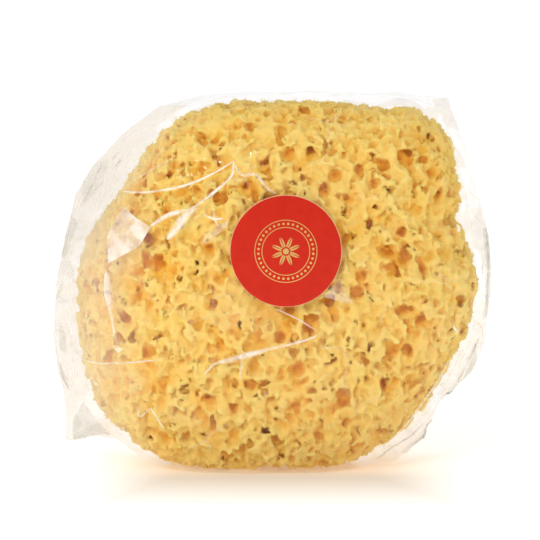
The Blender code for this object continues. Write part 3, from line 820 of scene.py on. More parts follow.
def crumple_tree():
    tree = bpy.data.node_groups.new("crumple film", "GeometryNodeTree")
    tree.interface.new_socket(name="Sheet", in_out="INPUT", socket_type="NodeSocketGeometry")
    add_input(tree, "Facet height", 1.5 * MM)
    add_input(tree, "Fine facet height", 0.5 * MM)
    add_input(tree, "Pleat height", 2.2 * MM)
    tree.interface.new_socket(name="Film", in_out="OUTPUT", socket_type="NodeSocketGeometry")
    given = tree.nodes.new("NodeGroupInput")
    big, fine, pleat = (Field(tree, s) for s in given.outputs[1:4])
    place = tree.nodes.new("GeometryNodeInputPosition").outputs[0]
    split = tree.nodes.new("ShaderNodeSeparateXYZ")
    tree.links.new(place, split.inputs[0])
    x, y, z = (Field(tree, socket) for socket in split.outputs)
    stored = tree.nodes.new("GeometryNodeInputNamedAttribute")
    stored.data_type = "FLOAT"
    stored.inputs["Name"].default_value = "loose"
    loose = Field(tree, stored.outputs["Attribute"])

    bent = warped(tree, place, *FILM_BEND)
    rise = facet_height(tree, bent, FACET_SIZE) * big
    rise = rise + facet_height(tree, bent, FINE_FACET_SIZE) * fine
    off_x, off_z = x - LABEL_X, z - LABEL_Z
    from_label = (off_x * off_x + off_z * off_z).math("SQRT") - LABEL_RADIUS
    behind = y.math("GREATER_THAN", 0.0)
    unstuck = (from_label / STUCK_MARGIN).math("MAXIMUM", behind).clamped()

    height = z - MIDDLE_HEIGHT
    radius = (x * x + height * height).math("SQRT")
    ray = tree.nodes.new("ShaderNodeCombineXYZ")
    tree.links.new((x / radius).socket, ray.inputs[0])
    tree.links.new((height / radius).socket, ray.inputs[1])
    tree.links.new((radius * PLEAT_DRIFT + behind * 5.0).socket, ray.inputs[2])
    waves = pattern(tree, "ShaderNodeTexNoise", ray.outputs[0], PLEAT_SIZE, Detail=2.0)
    fold = (Field(tree, waves.outputs["Fac"]) - 0.5).math("ABSOLUTE") * -4.0 + 1.0
    above_floor = (z / FLOOR_MARGIN).clamped()
    held_rim = (loose * loose) * -RIM_HOLD + 1.0
    folds = (fold - 0.7) * loose.math("SQRT") * held_rim * pleat * above_floor

    normal = tree.nodes.new("GeometryNodeInputNormal").outputs[0]
    push = tree.nodes.new("ShaderNodeVectorMath")
    push.operation = "SCALE"
    tree.links.new(normal, push.inputs[0])
    lying = loose * -1.0 + 1.0
    tree.links.new((rise * lying * unstuck * above_floor + folds).socket, push.inputs["Scale"])
    moved = tree.nodes.new("GeometryNodeSetPosition")
    kept = store(tree, given.outputs[0], "bent", "FLOAT_VECTOR", bent)
    kept = store(tree, kept, "unstuck", "FLOAT", unstuck.socket)
    kept = store(tree, kept, "fold", "FLOAT", fold.socket)
    tree.links.new(kept, moved.inputs["Geometry"])
    tree.links.new(push.outputs[0], moved.inputs["Offset"])
    real = tree.nodes.new("GeometryNodeRealizeInstances")
    tree.links.new(moved.outputs[0], real.inputs[0])
    dressed = tree.nodes.new("GeometryNodeSetMaterial")
    tree.links.new(real.outputs[0], dressed.inputs["Geometry"])
    out = tree.nodes.new("NodeGroupOutput")
    tree.links.new(dressed.outputs[0], out.inputs[0])
    return tree, dressed


print("label at", LABEL_X / MM, LABEL_Z / MM, "mm")

# %% [markdown]
# ## Clear film
# The film is far too thin to bend what is seen through it, so it needs no glass: it is see-through with
# a mirror-like shine that grows at grazing angles, which the Fresnel node gives. Along its creases the
# film gets painted highlights in white, its left side gets a painted reflection that whitens it, and in
# places it hangs off the sponge and looks milky. Those clouds are noise, and the painted crease
# highlights lie on the cell edges that also shaped the crumples.

# %% Material of the film
FILM_IOR = 1.4
SHINE = 0.8
MOST_SHINE = 0.22
FILM_WHITE = (0.95, 0.965, 0.985)
# Painted highlight: the white of the creases over the sponge; the flap's creased edges use it too.
CREASE_AND_HIGHLIGHT_WHITE = (1.0, 0.975, 0.93)
# Painted shade: the grey of the free film's folds against the white behind.
CREASE_SHADE_GREY = (0.60, 0.59, 0.54)
TRANSLUCENT_SHARE = 0.25
LINE_SPACING = 5.5 * MM
LINE_STRETCH = 12.0 * MM
LINE_SWAY = 8.0 * MM
LINE_HALF_WIDTH = 0.022
# How white each of the sheet's marks is, as a share of full cover.
# Painted highlight: the streaks along the crease edges.
STREAK_HIGHLIGHT = 0.15
CLOUD_WHITE = 0.03
# Painted reflection: the left side of the film whitened.
LEFT_CLOUD_REFLECTION = 0.09
LEFT_REFLECTION_WHITE = 0.25
DRAWN_LINE_WHITE = 0.34
PLEAT_WHITE = 0.12
FREE_FILM_WHITE = 0.03
CLEAN_FILM_WHITE = 0.004


def attribute(tree, name, output="Fac"):
    node = tree.nodes.new("ShaderNodeAttribute")
    node.attribute_name = name
    return node.outputs[output]


def clear_film(name, white_of_film, veil_of):
    """A see-through film whose whiteness is what veil_of makes from its node tree."""
    material = bpy.data.materials.new(name)
    material.use_nodes = True
    tree = material.node_tree
    veil = veil_of(tree)
    fresnel = tree.nodes.new("ShaderNodeFresnel")
    fresnel.inputs["IOR"].default_value = FILM_IOR
    shine = (Field(tree, fresnel.outputs[0]) * SHINE).math("MINIMUM", MOST_SHINE)
    shader = tree.nodes["Principled BSDF"]
    shader.inputs["Base Color"].default_value = (*white_of_film, 1.0)
    tree.links.new((shine / (shine + veil)).socket, shader.inputs["Metallic"])
    tree.links.new((veil * 0.4 + 0.08).clamped().socket, shader.inputs["Roughness"])
    glow = tree.nodes.new("ShaderNodeBsdfTranslucent")
    glow.inputs["Color"].default_value = (*white_of_film, 1.0)
    white = tree.nodes.new("ShaderNodeMixShader")
    tree.links.new((veil / (shine + veil) * TRANSLUCENT_SHARE).socket, white.inputs[0])
    tree.links.new(shader.outputs[0], white.inputs[1])
    tree.links.new(glow.outputs[0], white.inputs[2])
    cover = (veil * -1.0 + 1.0) * (shine * -1.0 + 1.0) * -1.0 + 1.0
    clear = tree.nodes.new("ShaderNodeBsdfTransparent")
    mix = tree.nodes.new("ShaderNodeMixShader")
    tree.links.new(cover.clamped().socket, mix.inputs[0])
    tree.links.new(clear.outputs[0], mix.inputs[1])
    tree.links.new(white.outputs[0], mix.inputs[2])
    tree.links.new(mix.outputs[0], tree.nodes["Material Output"].inputs["Surface"])
    return material


def drawn_lines(tree, place, x, z):
    """Thin lines that run round the bag, where loose film is drawn tight past the sponge."""
    height = z - MIDDLE_HEIGHT
    radius = (x * x + height * height).math("SQRT")
    sway = pattern(tree, "ShaderNodeTexNoise", place, 20.0 * MM, Detail=1.0)
    ray = tree.nodes.new("ShaderNodeCombineXYZ")
    tree.links.new((x / radius * LINE_STRETCH).socket, ray.inputs[0])
    tree.links.new((height / radius * LINE_STRETCH).socket, ray.inputs[1])
    swayed = radius + Field(tree, sway.outputs["Fac"]) * LINE_SWAY
    tree.links.new(swayed.socket, ray.inputs[2])
    lines = pattern(tree, "ShaderNodeTexNoise", ray.outputs[0], LINE_SPACING, Detail=2.0)
    return (Field(tree, lines.outputs["Fac"]) - 0.5).math("ABSOLUTE").between(LINE_HALF_WIDTH, 0.0)


def sheet_veil(tree):
    """Milky clouds, painted crease highlights along the cell edges, a painted reflection on the left,
    and a haze on the free film.
    """
    bent = attribute(tree, "bent", "Vector")
    place = object_position(tree)
    split = tree.nodes.new("ShaderNodeSeparateXYZ")
    tree.links.new(place, split.inputs[0])
    x, z = Field(tree, split.outputs[0]), Field(tree, split.outputs[2])
    edge = facet_height(tree, bent, FACET_SIZE)
    noise = pattern(tree, "ShaderNodeTexNoise", place, 30.0 * MM, Detail=2.0)
    clouds = Field(tree, noise.outputs["Fac"])
    noise = pattern(tree, "ShaderNodeTexNoise", place, 17.0 * MM, Detail=1.0)
    chance = Field(tree, noise.outputs["Fac"])
    # Painted highlight: white streaks along the crumples' cell edges, where the noise allows.
    streak_highlight = edge.between(0.016, 0.003) * chance.between(0.52, 0.66) * STREAK_HIGHLIGHT
    # Painted reflection: the clouds and a haze grow whiter towards the left.
    cloud_and_left_reflection = x.between(15.0 * MM, -45.0 * MM) * LEFT_CLOUD_REFLECTION + CLOUD_WHITE
    cloud = clouds.between(0.50, 0.75) * cloud_and_left_reflection
    left = x.between(-38.0 * MM, -70.0 * MM) * LEFT_REFLECTION_WHITE
    fold = Field(tree, attribute(tree, "fold"))
    drawn = drawn_lines(tree, place, x, z) * DRAWN_LINE_WHITE
    drawn = drawn + fold.between(0.5, 1.0) * PLEAT_WHITE + FREE_FILM_WHITE
    hem = Field(tree, attribute(tree, "loose")).between(0.0, 0.35) * drawn
    hem = hem * (z.between(80.0 * MM, 105.0 * MM) * -0.8 + 1.0)
    clean = Field(tree, attribute(tree, "unstuck")) * z.between(0.5 * MM, 5.0 * MM)
    veil = (streak_highlight + cloud + left + hem) * clean + CLEAN_FILM_WHITE
    return veil.clamped()


FILM = clear_film("clear film", FILM_WHITE, sheet_veil)
tree, dressed = crumple_tree()
dressed.inputs["Material"].default_value = FILM
crumple = film.modifiers.new("crumple", "NODES")
crumple.node_group = tree
set_input(crumple, "Facet height", 3.2 * MM)
set_input(crumple, "Fine facet height", 0.9 * MM)
set_input(crumple, "Pleat height", 1.8 * MM)
plain_mesh(film)
film.data.shade_smooth()
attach(film, "root")
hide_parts("bag")
print("film bag:", count_triangles(film.data), "triangles")

# %% [markdown]
# ## Listed folds
# Some folds of the real bag stand out from across a room: a long crease over the upper left with a
# thick spike, a zigzag above the label, a line across the left and one across the lower half, and a few
# milky patches where the film is doubled, made whiter by painted highlight. Over the sponge the folds
# are painted white as highlights, and against the white background they are painted grey as shade, in
# lines and tones. Each is a narrow ridge that follows a line of points, swelling in its middle and thin
# at its ends, laid on the crumpled sheet.

# %% Lines and patches of the folds
# Each line: points x, z on the front in millimetres, half width in millimetres, whiteness of its
# painted highlight.
FOLD_LINES = (
    (((-52.1, 96.7), (-43.6, 97.2), (-31.6, 99.6), (-22.2, 103.4), (-14.5, 108.0)), 0.42, 0.85),
    (((-14.5, 108.0), (-15.5, 102.8), (-22.2, 96.8), (-29.2, 91.7)), 0.50, 0.85),
    (((-27.2, 93.0), (-30.6, 89.8), (-33.6, 85.7), (-36.8, 81.9)), 1.40, 0.95),
    (((-29.2, 92.0), (-36.3, 89.9), (-42.5, 86.1)), 0.75, 0.90),
    (((-14.5, 107.1), (-11.8, 103.5), (-7.1, 103.5), (-3.7, 99.5), (-0.4, 97.3)), 0.55, 0.55),
    (((-24.2, 90.1), (-20.8, 88.8), (-18.1, 89.2)), 0.45, 0.75),
    (((-21.5, 93.5), (-20.8, 88.8), (-19.6, 86.3)), 0.35, 0.60),
    (((-16.5, 87.8), (-20.2, 84.8), (-25.5, 80.5)), 1.30, 0.30),
    (((-57.9, 71.5), (-58.0, 63.4), (-55.9, 55.3), (-54.2, 45.5)), 0.50, 0.70),
    (((-57.7, 70.5), (-57.0, 64.0), (-56.2, 57.0)), 1.30, 0.60),
    (((-70.0, 41.1), (-61.8, 38.9), (-49.5, 39.9), (-38.8, 41.3)), 0.35, 0.60),
    (((-24.6, 36.4), (-19.9, 40.6), (-7.1, 44.2), (2.3, 46.5), (11.4, 48.9), (13.4, 50.3)), 0.60, 0.70),
    (((-19.0, 40.6), (-12.0, 42.6), (-3.0, 44.9)), 1.00, 0.80),
    (((-12.5, 43.1), (-12.1, 39.0), (-12.5, 35.2)), 0.45, 0.50),
    (((-0.4, 58.8), (7.7, 55.0), (13.4, 51.3)), 0.25, 0.60),
    (((-46.6, 25.1), (-46.7, 20.7), (-42.8, 24.2)), 0.25, 0.55),
    (((-42.8, 24.2), (-40.5, 20.4), (-38.5, 16.8)), 0.35, 0.75),
    (((58.5, 39.6), (54.9, 32.1), (50.4, 25.7), (45.7, 19.0), (41.0, 13.2)), 0.35, 0.60),
    (((60.8, 86.1), (61.6, 84.6), (61.5, 83.3)), 0.55, 0.80),
    (((59.5, 51.4), (60.6, 50.2), (61.4, 48.7)), 0.45, 0.85),
    (((-49.0, 100.2), (-41.3, 105.2), (-33.4, 109.7)), 0.25, 0.35),
    (((-55.4, 105.0), (-53.3, 107.4), (-50.8, 109.5)), 0.35, 0.70),
    (((-54.2, 103.7), (-51.8, 106.5), (-49.3, 108.9)), 0.25, 0.55),
    (((57.5, 118.5), (59.6, 112.6), (60.8, 106.6)), 0.30, 0.60),
    (((62.7, 101.8), (64.2, 95.5), (64.9, 89.3)), 0.30, 0.55),
    (((65.0, 32.0), (57.5, 24.8), (49.5, 11.0)), 0.30, 0.60),
    (((60.4, 34.0), (52.0, 22.9), (43.4, 9.9)), 0.35, 0.70),
)
# Each patch: corners x, z on the front in millimetres and the whiteness at that corner: the doubled
# film's milkiness with painted highlight.
FOLD_PATCHES = (
    ((-52.3, 92.5, 0.30), (-57.5, 82.0, 0.65), (-57.0, 73.2, 0.85), (-46.2, 79.4, 0.90),
     (-42.5, 85.8, 1.00), (-47.3, 88.5, 0.95)),
    ((-56.0, 45.8, 0.55), (-53.9, 42.8, 0.70), (-51.8, 44.3, 0.55)),
    ((-63.0, 34.5, 0.55), (-62.4, 31.0, 0.70), (-60.9, 30.8, 0.55)),
    ((15.7, 62.8, 0.35), (25.8, 60.1, 0.15), (21.0, 69.5, 0.25)),
)
# The same for the folds of the free film, painted grey as shade against the white behind.
GREY_LINES = (
    (((65.5, 36.0), (62.5, 28.5), (59.0, 22.0)), 0.35, 0.80),
    (((50.5, 16.0), (44.5, 11.0), (39.0, 7.5), (34.5, 3.5)), 0.40, 0.70),
    (((56.0, 18.0), (52.5, 11.5), (50.0, 6.5), (45.0, 2.5)), 0.30, 0.50),
    (((-75.5, 36.0), (-74.5, 30.5), (-72.0, 26.5)), 0.35, 0.70),
    (((-55.5, 104.5), (-52.5, 108.5)), 0.35, 0.60),
    (((-57.0, 106.5), (-54.5, 109.5)), 0.30, 0.50),
    (((-67.5, 90.5), (-63.5, 98.5), (-60.5, 105.0)), 0.35, 0.40),
    (((72.5, 83.0), (73.0, 71.5), (72.5, 58.0), (72.5, 48.0)), 0.35, 0.50),
    (((70.0, 45.5), (67.5, 40.5), (65.5, 35.5)), 0.45, 0.60),
)
GREY_PATCHES = (
    ((71.0, 83.0, 0.15), (74.0, 83.0, 0.35), (74.5, 68.5, 0.40), (72.5, 68.5, 0.25)),
    ((72.5, 68.0, 0.25), (74.5, 68.0, 0.40), (73.5, 52.5, 0.50), (71.0, 51.0, 0.35),
     (72.0, 59.5, 0.25)),
    ((68.5, 43.5, 0.35), (70.0, 37.0, 0.45), (66.0, 29.0, 0.50), (64.0, 28.0, 0.30),
     (66.5, 36.0, 0.25)),
    ((61.0, 27.0, 0.15), (64.5, 28.0, 0.30), (59.5, 20.5, 0.35), (56.0, 18.5, 0.20)),
    ((54.0, 15.5, 0.20), (55.0, 14.0, 0.25), (51.5, 7.0, 0.30), (46.0, 3.0, 0.35),
     (43.0, 4.5, 0.30), (48.5, 9.0, 0.20)),
    ((-67.0, 23.5, 0.40), (-71.0, 16.0, 0.45), (-71.5, 6.5, 0.55), (-64.0, 10.5, 0.50),
     (-57.5, 11.5, 0.35), (-62.0, 17.5, 0.30)),
    ((-75.5, 50.0, 0.25), (-73.0, 46.5, 0.15), (-72.5, 39.5, 0.20), (-75.5, 40.5, 0.40)),
    ((-64.5, 104.5, 0.05), (-58.0, 107.0, 0.15), (-60.0, 98.5, 0.20), (-66.5, 91.5, 0.20),
     (-68.0, 96.5, 0.10)),
    ((-71.0, 87.5, 0.25), (-68.5, 85.0, 0.15), (-73.5, 72.5, 0.25), (-75.5, 72.0, 0.35)),
)
print("fold lines:", len(FOLD_LINES) + len(GREY_LINES))
print("fold patches:", len(FOLD_PATCHES) + len(GREY_PATCHES))

# %% Build the folds on the sheet
FOLD_STEP = 0.7 * MM
FOLD_LIFT = 0.25 * MM
FOLD_RISE = 0.9
PATCH_STEP = 1.6 * MM
PATCH_RINGS = 5


def surface_of(mesh):
    points = [vert.co.copy() for vert in mesh.vertices]
    return BVHTree.FromPolygons(points, [polygon.vertices[:] for polygon in mesh.polygons])


SHEET = surface_of(film.data)


def on_front(x, z):
    """The point and the outward normal of the film's front at a place seen from straight ahead."""
    start = Vector((x, -0.2, z))
    point, normal, _, _ = SHEET.ray_cast(start, Vector((0.0, 1.0, 0.0)))
    if point is None:
        point, normal, _, _ = SHEET.find_nearest(Vector((x, 0.0, z)))
    return point, (normal if normal.y < 0 else -normal)


def smooth_line(points, step):
    """A Catmull-Rom curve through the points, at about equal steps."""
    known = [Vector(p) * MM for p in points]
    known = [known[0] * 2 - known[1], *known, known[-1] * 2 - known[-2]]
    out = []
    for a, b, c, d in zip(known, known[1:], known[2:], known[3:]):
        count = max(2, round((c - b).length / step))
        for k in range(count):
            t = k / count
            out.append(
                0.5 * (2 * b + (c - a) * t + (2 * a - 5 * b + 4 * c - d) * t**2
                       + (3 * b - a - 3 * c + d) * t**3)
            )
    return [*out, known[-2]]


def add_line(bm, white, points, half_width, whiteness):
    line = smooth_line(points, FOLD_STEP)
    rows = []
    for index, place in enumerate(line):
        share = index / (len(line) - 1)
        swell = half_width * MM * (0.3 + 0.9 * math.sin(math.pi * share) ** 0.5)
        ahead = line[min(index + 1, len(line) - 1)] - line[max(index - 1, 0)]
        across = Vector((-ahead.y, ahead.x)).normalized()
        row = []
        for offset, rise in ((-1.0, 0.0), (-0.45, 0.7), (0.0, 1.0), (0.45, 0.7), (1.0, 0.0)):
            spot = place + across * offset * swell
            point, normal = on_front(spot.x, spot.y)
            vert = bm.verts.new(point + normal * (FOLD_LIFT + rise * FOLD_RISE * swell))
            vert[white] = whiteness * (0.2 if abs(offset) == 1.0 else 1.0)
            row.append(vert)
        rows.append(row)
    for row, following in zip(rows, rows[1:]):
        for a, b, c, d in zip(row, row[1:], following[1:], following):
            bm.faces.new((a, b, c, d))


def add_patch(bm, white, corners):
    """A patch of rings round its middle, with a whiteness between those of its corners."""
    known = [Vector((x * MM, z * MM, whiteness)) for x, z, whiteness in corners]
    middle = sum(known, Vector((0.0, 0.0, 0.0))) / len(known)
    border = []
    for here, following in zip(known, known[1:] + known[:1]):
        count = max(2, round((following - here).to_2d().length / PATCH_STEP))
        border += [here.lerp(following, k / count) for k in range(count)]
    rings = []
    for k in range(PATCH_RINGS + 1):
        share = 1 - k / PATCH_RINGS
        spots = [middle.lerp(spot, share) for spot in border] if share else [middle]
        ring = []
        for spot in spots:
            point, normal = on_front(spot.x, spot.y)
            vert = bm.verts.new(point + normal * FOLD_LIFT)
            vert[white] = spot.z
            ring.append(vert)
        rings.append(ring)
    count = len(border)
    for ring, inner in zip(rings, rings[1:]):
        for i in range(count):
            j = (i + 1) % count
            if len(inner) > 1:
                bm.faces.new((ring[i], ring[j], inner[j], inner[i]))
            else:
                bm.faces.new((ring[i], ring[j], inner[0]))


def fold_mesh(name, lines, patches):
    bm = bmesh.new()
    white = bm.verts.layers.float.new("white")
    for points, half_width, whiteness in lines:
        add_line(bm, white, points, half_width, whiteness)
    for corners in patches:
        add_patch(bm, white, corners)
    for face in bm.faces:
        face.normal_update()
        if face.normal.y > 0:
            face.normal_flip()
    mesh = bpy.data.meshes.new(name)
    bm.to_mesh(mesh)
    bm.free()
    return mesh


print("folds lie on a sheet of", len(film.data.vertices), "points")

# %% The broken whiteness that folds and flap share
GRAIN_SIZE = 5.0 * MM
GRAIN_SHARE = 0.55


def crease_group():
    """A shader node group that breaks a fold's whiteness up a little along it: painted highlight on the
    white folds, painted shade on the grey ones, and the flap's creased edges.
    """
    group = bpy.data.node_groups.new("crease whiteness", "ShaderNodeTree")
    group.interface.new_socket(name="White", in_out="INPUT", socket_type="NodeSocketFloat")
    group.interface.new_socket(name="Grain share", in_out="INPUT", socket_type="NodeSocketFloat")
    group.interface.new_socket(name="Position", in_out="INPUT", socket_type="NodeSocketVector")
    group.interface.new_socket(name="Veil", in_out="OUTPUT", socket_type="NodeSocketFloat")
    given = group.nodes.new("NodeGroupInput")
    white, share = (Field(group, given.outputs[name]) for name in ("White", "Grain share"))
    place = given.outputs["Position"]
    noise = pattern(group, "ShaderNodeTexNoise", place, GRAIN_SIZE, Detail=3.0)
    grain = Field(group, noise.outputs["Fac"]).between(0.36, 0.60)
    veil = (white * (grain * share + (share * -1.0 + 1.0))).clamped()
    group.links.new(veil.socket, group.nodes.new("NodeGroupOutput").inputs["Veil"])
    return group


CREASE_GROUP = crease_group()
print("group:", CREASE_GROUP.name, "with", len(CREASE_GROUP.nodes), "nodes")


def fold_veil(tree):
    """The whiteness that the fold's points carry, through the shared group: painted highlight on white
    folds, painted shade on grey ones.
    """
    node = tree.nodes.new("ShaderNodeGroup")
    node.node_tree = CREASE_GROUP
    node.inputs["Grain share"].default_value = GRAIN_SHARE
    tree.links.new(attribute(tree, "white"), node.inputs["White"])
    tree.links.new(object_position(tree), node.inputs["Position"])
    return Field(tree, node.outputs["Veil"])


# %% Lay the folds on the film
# The white folds carry painted highlights, the grey ones painted shade.
for name, lines, patches, colour in (
    ("film_folds", FOLD_LINES, FOLD_PATCHES, CREASE_AND_HIGHLIGHT_WHITE),
    ("film_shades", GREY_LINES, GREY_PATCHES, CREASE_SHADE_GREY),
):
    folds = add_piece(name, fold_mesh(name, lines, patches))
    folds.data.materials.append(clear_film(name, colour, fold_veil))
    folds.data.shade_smooth()
    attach(folds, "root")
    print(name, count_triangles(folds.data), "triangles")

# %% [markdown]
# ## The flap on the back
# The bag's mouth is folded over once and taped down behind, as such bags are. The flap is a second
# layer a millimetre off the back: clear in its middle, whiter where its edges are creased.

# %% Build the flap
MOUTH_HEIGHT = 84.0 * MM
MOUTH_HALF_WIDTH = 40.0 * MM
FLAP_DROP = 16.0 * MM
FLAP_LIFT = 0.9 * MM
FLAP_COLUMNS = 96
FLAP_ROWS = 20


def on_back(x, z):
    start = Vector((x, 0.2, z))
    point, normal, _, _ = SHEET.ray_cast(start, Vector((0.0, -1.0, 0.0)))
    return point, (normal if normal.y > 0 else -normal)


def flap_mesh():
    """Rows run down from the fold at the mouth; the fold lies on the film, the rest stands off."""
    points, faces, whites = [], [], []
    for row in range(FLAP_ROWS + 1):
        down = row / FLAP_ROWS
        for column in range(FLAP_COLUMNS + 1):
            across = 2 * column / FLAP_COLUMNS - 1
            taper = 1.0 - 0.05 * down
            x = across * MOUTH_HALF_WIDTH * taper
            z = MOUTH_HEIGHT - FLAP_DROP * down
            point, normal = on_back(x, z)
            lift = FLAP_LIFT * min(1.0, 0.25 + 4 * down)
            points.append(tuple(point + normal * lift))
            edge = min(down, 1 - down, (1 - abs(across)) * MOUTH_HALF_WIDTH / FLAP_DROP)
            whites.append(0.06 + 0.55 * max(0.0, 1 - edge * FLAP_ROWS / 1.5))
    width = FLAP_COLUMNS + 1
    for row in range(FLAP_ROWS):
        for column in range(FLAP_COLUMNS):
            a = row * width + column
            faces.append((a, a + 1, a + width + 1, a + width))
    mesh = bpy.data.meshes.new("film_flap")
    mesh.from_pydata(points, [], faces)
    mesh.attributes.new("white", "FLOAT", "POINT").data.foreach_set("value", whites)
    if mesh.polygons[0].normal.y < 0:
        mesh.flip_normals()
    return mesh


flap = add_piece("film_flap", flap_mesh())
flap.data.materials.append(clear_film("flap film", CREASE_AND_HIGHLIGHT_WHITE, fold_veil))
flap.data.shade_smooth()
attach(flap, "root")
print("flap:", count_triangles(flap.data), "triangles")

# %% [markdown]
# ## The label
# A stiff round sticker lies flat on the film. Its face is coated red paper with a faint mottle;
# the thin pale line round it is the cut edge of the paper. The gold print is a plain ornament
# made of circles in polar coordinates: a ring of beads and a flower with eight petals.

# %% Label paper
LABEL_THICKNESS = 0.25 * MM
LABEL_LIFT = 0.45 * MM
LABEL_SIDES = 120
LABEL_RINGS = 14


def label_mesh():
    """A disc that follows the film, with a thickness and a rounded cut edge."""
    points, faces = [], []
    profile = [(LABEL_RADIUS * (k + 1) / LABEL_RINGS, 1.0) for k in range(LABEL_RINGS)]
    profile[-1] = (LABEL_RADIUS - 0.08 * MM, 1.0)
    profile += [(LABEL_RADIUS, 0.7), (LABEL_RADIUS, 0.3), (LABEL_RADIUS - 0.1 * MM, 0.0)]
    middle, normal = on_front(LABEL_X, LABEL_Z)
    for radius, level in profile:
        for i in range(LABEL_SIDES):
            angle = TURN * i / LABEL_SIDES
            x = LABEL_X + radius * math.cos(angle)
            z = LABEL_Z + radius * math.sin(angle)
            point, normal = on_front(x, z)
            points.append(point + normal * (LABEL_LIFT + level * LABEL_THICKNESS))
    for k in range(len(profile) - 1):
        for i in range(LABEL_SIDES):
            j = (i + 1) % LABEL_SIDES
            a, b = k * LABEL_SIDES + i, k * LABEL_SIDES + j
            faces.append((a, a + LABEL_SIDES, b + LABEL_SIDES, b))
    point, normal = on_front(LABEL_X, LABEL_Z)
    points.append(point + normal * (LABEL_LIFT + LABEL_THICKNESS))
    points.append(point + normal * LABEL_LIFT)
    last = (len(profile) - 1) * LABEL_SIDES
    for i in range(LABEL_SIDES):
        j = (i + 1) % LABEL_SIDES
        faces.append((len(points) - 2, i, j))
        faces.append((len(points) - 1, last + j, last + i))
    mesh = bpy.data.meshes.new("label_paper")
    mesh.from_pydata([tuple(p) for p in points], [], faces)
    bm = bmesh.new()
    bm.from_mesh(mesh)
    bmesh.ops.recalc_face_normals(bm, faces=bm.faces)
    bm.to_mesh(mesh)
    bm.free()
    return mesh


label = add_piece("label_paper", label_mesh())
label.data.shade_smooth()
print("label:", count_triangles(label.data), "triangles")

# %% Label print
RING_RADIUS = 9.2 * MM
BEADS = 36
BEAD_RADIUS = 0.42 * MM
LINE_HALF = 0.13 * MM
PETALS = 8
FLOWER_REACH = 5.4 * MM
RED = (0.560, 0.018, 0.004)
DEEP_RED = (0.510, 0.014, 0.003)
GOLD = (0.680, 0.440, 0.140)


def gold_mask(tree, x, z):
    """1 on the gold print: two thin rings with beads between them, and an eight-petal flower."""
    radius = (x * x + z * z).math("SQRT")
    turn = z.math("ARCTAN2", x) / TURN
    bead_turn = ((turn * BEADS).math("FRACT") - 0.5) * (TURN / BEADS)
    bead_off = (bead_turn * RING_RADIUS) ** 2.0 + (radius - RING_RADIUS) ** 2.0
    beads = bead_off.math("SQRT").math("LESS_THAN", BEAD_RADIUS)
    inner = (radius - RING_RADIUS + 1.2 * MM).math("ABSOLUTE").math("LESS_THAN", LINE_HALF)
    outer = (radius - RING_RADIUS - 1.2 * MM).math("ABSOLUTE").math("LESS_THAN", LINE_HALF)
    petal_turn = ((turn * PETALS).math("FRACT") - 0.5).math("ABSOLUTE") * 2.0
    petal_edge = (petal_turn * -1.0 + 1.0).math("POWER", 0.7) * FLOWER_REACH
    petals = radius.math("LESS_THAN", petal_edge) * radius.math("GREATER_THAN", 1.5 * MM)
    vein = petal_turn.math("GREATER_THAN", 0.10)
    middle = radius.math("LESS_THAN", 1.0 * MM)
    mask = beads + inner + outer + petals * vein + middle
    return mask.clamped()


def label_print():
    material = bpy.data.materials.new("printed label")
    material.use_nodes = True
    tree = material.node_tree
    shader = tree.nodes["Principled BSDF"]
    place = object_position(tree)
    split = tree.nodes.new("ShaderNodeSeparateXYZ")
    tree.links.new(place, split.inputs[0])
    x = Field(tree, split.outputs[0]) - LABEL_X
    z = Field(tree, split.outputs[2]) - LABEL_Z
    mask = gold_mask(tree, x, z)
    mottle = pattern(tree, "ShaderNodeTexNoise", place, 4.0 * MM, Detail=4.0)
    paper = ramp_node(tree, ((0.30, DEEP_RED), (0.70, RED)))
    tree.links.new(mottle.outputs["Fac"], paper.inputs[0])
    rim = (x * x + z * z).math("SQRT").math("GREATER_THAN", LABEL_RADIUS - 0.16 * MM)
    printed = tree.nodes.new("ShaderNodeMix")
    printed.data_type = "RGBA"
    tree.links.new(mask.socket, printed.inputs["Factor"])
    tree.links.new(paper.outputs[0], printed.inputs["A"])
    printed.inputs["B"].default_value = (*GOLD, 1.0)
    edged = tree.nodes.new("ShaderNodeMix")
    edged.data_type = "RGBA"
    tree.links.new(rim.socket, edged.inputs["Factor"])
    tree.links.new(printed.outputs["Result"], edged.inputs["A"])
    edged.inputs["B"].default_value = (0.75, 0.42, 0.24, 1.0)
    tree.links.new(edged.outputs["Result"], shader.inputs["Base Color"])
    tree.links.new((mask * -0.12 + 0.42).socket, shader.inputs["Roughness"])
    shader.inputs["Specular IOR Level"].default_value = 0.2
    tree.links.new((mask * 0.35).socket, shader.inputs["Metallic"])
    fibre = pattern(tree, "ShaderNodeTexNoise", place, 0.5 * MM, Detail=3.0)
    bump = tree.nodes.new("ShaderNodeBump")
    bump.inputs["Strength"].default_value = 0.15
    bump.inputs["Distance"].default_value = 0.05 * MM
    tree.links.new(fibre.outputs["Fac"], bump.inputs["Height"])
    tree.links.new(bump.outputs["Normal"], shader.inputs["Normal"])
    return material


label.data.materials.append(label_print())
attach(label, "root")
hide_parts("label")
print("print:", BEADS, "beads and", PETALS, "petals")

# %% [markdown]
# ## Studio
# The photograph is a plain packshot: a white floor that runs into a white background, one large
# soft light high on the left and in front, and a weak fill from the right. The floor glows enough
# to stay white in the open, less where the part shades it, and warmly in the strip where the sponge
# nearly touches it. The world is white to the camera, but a mirror sees a darker room in front, so
# the film's creases stand out against what it covers. A small light of its own gives the glints.

# %% Floor and world
FLOOR_SIZE = 6.0
FLOOR_WHITE = (0.82, 0.78, 0.72, 1.0)
OPEN_GLOW = (0.52, 0.52, 0.52, 1.0)
SHADE_GLOW = (0.10, 0.09, 0.075, 1.0)
# Painted warm light bounced from the sponge onto the floor's contact strip.
CONTACT_GLOW = (0.36, 0.27, 0.19, 1.0)
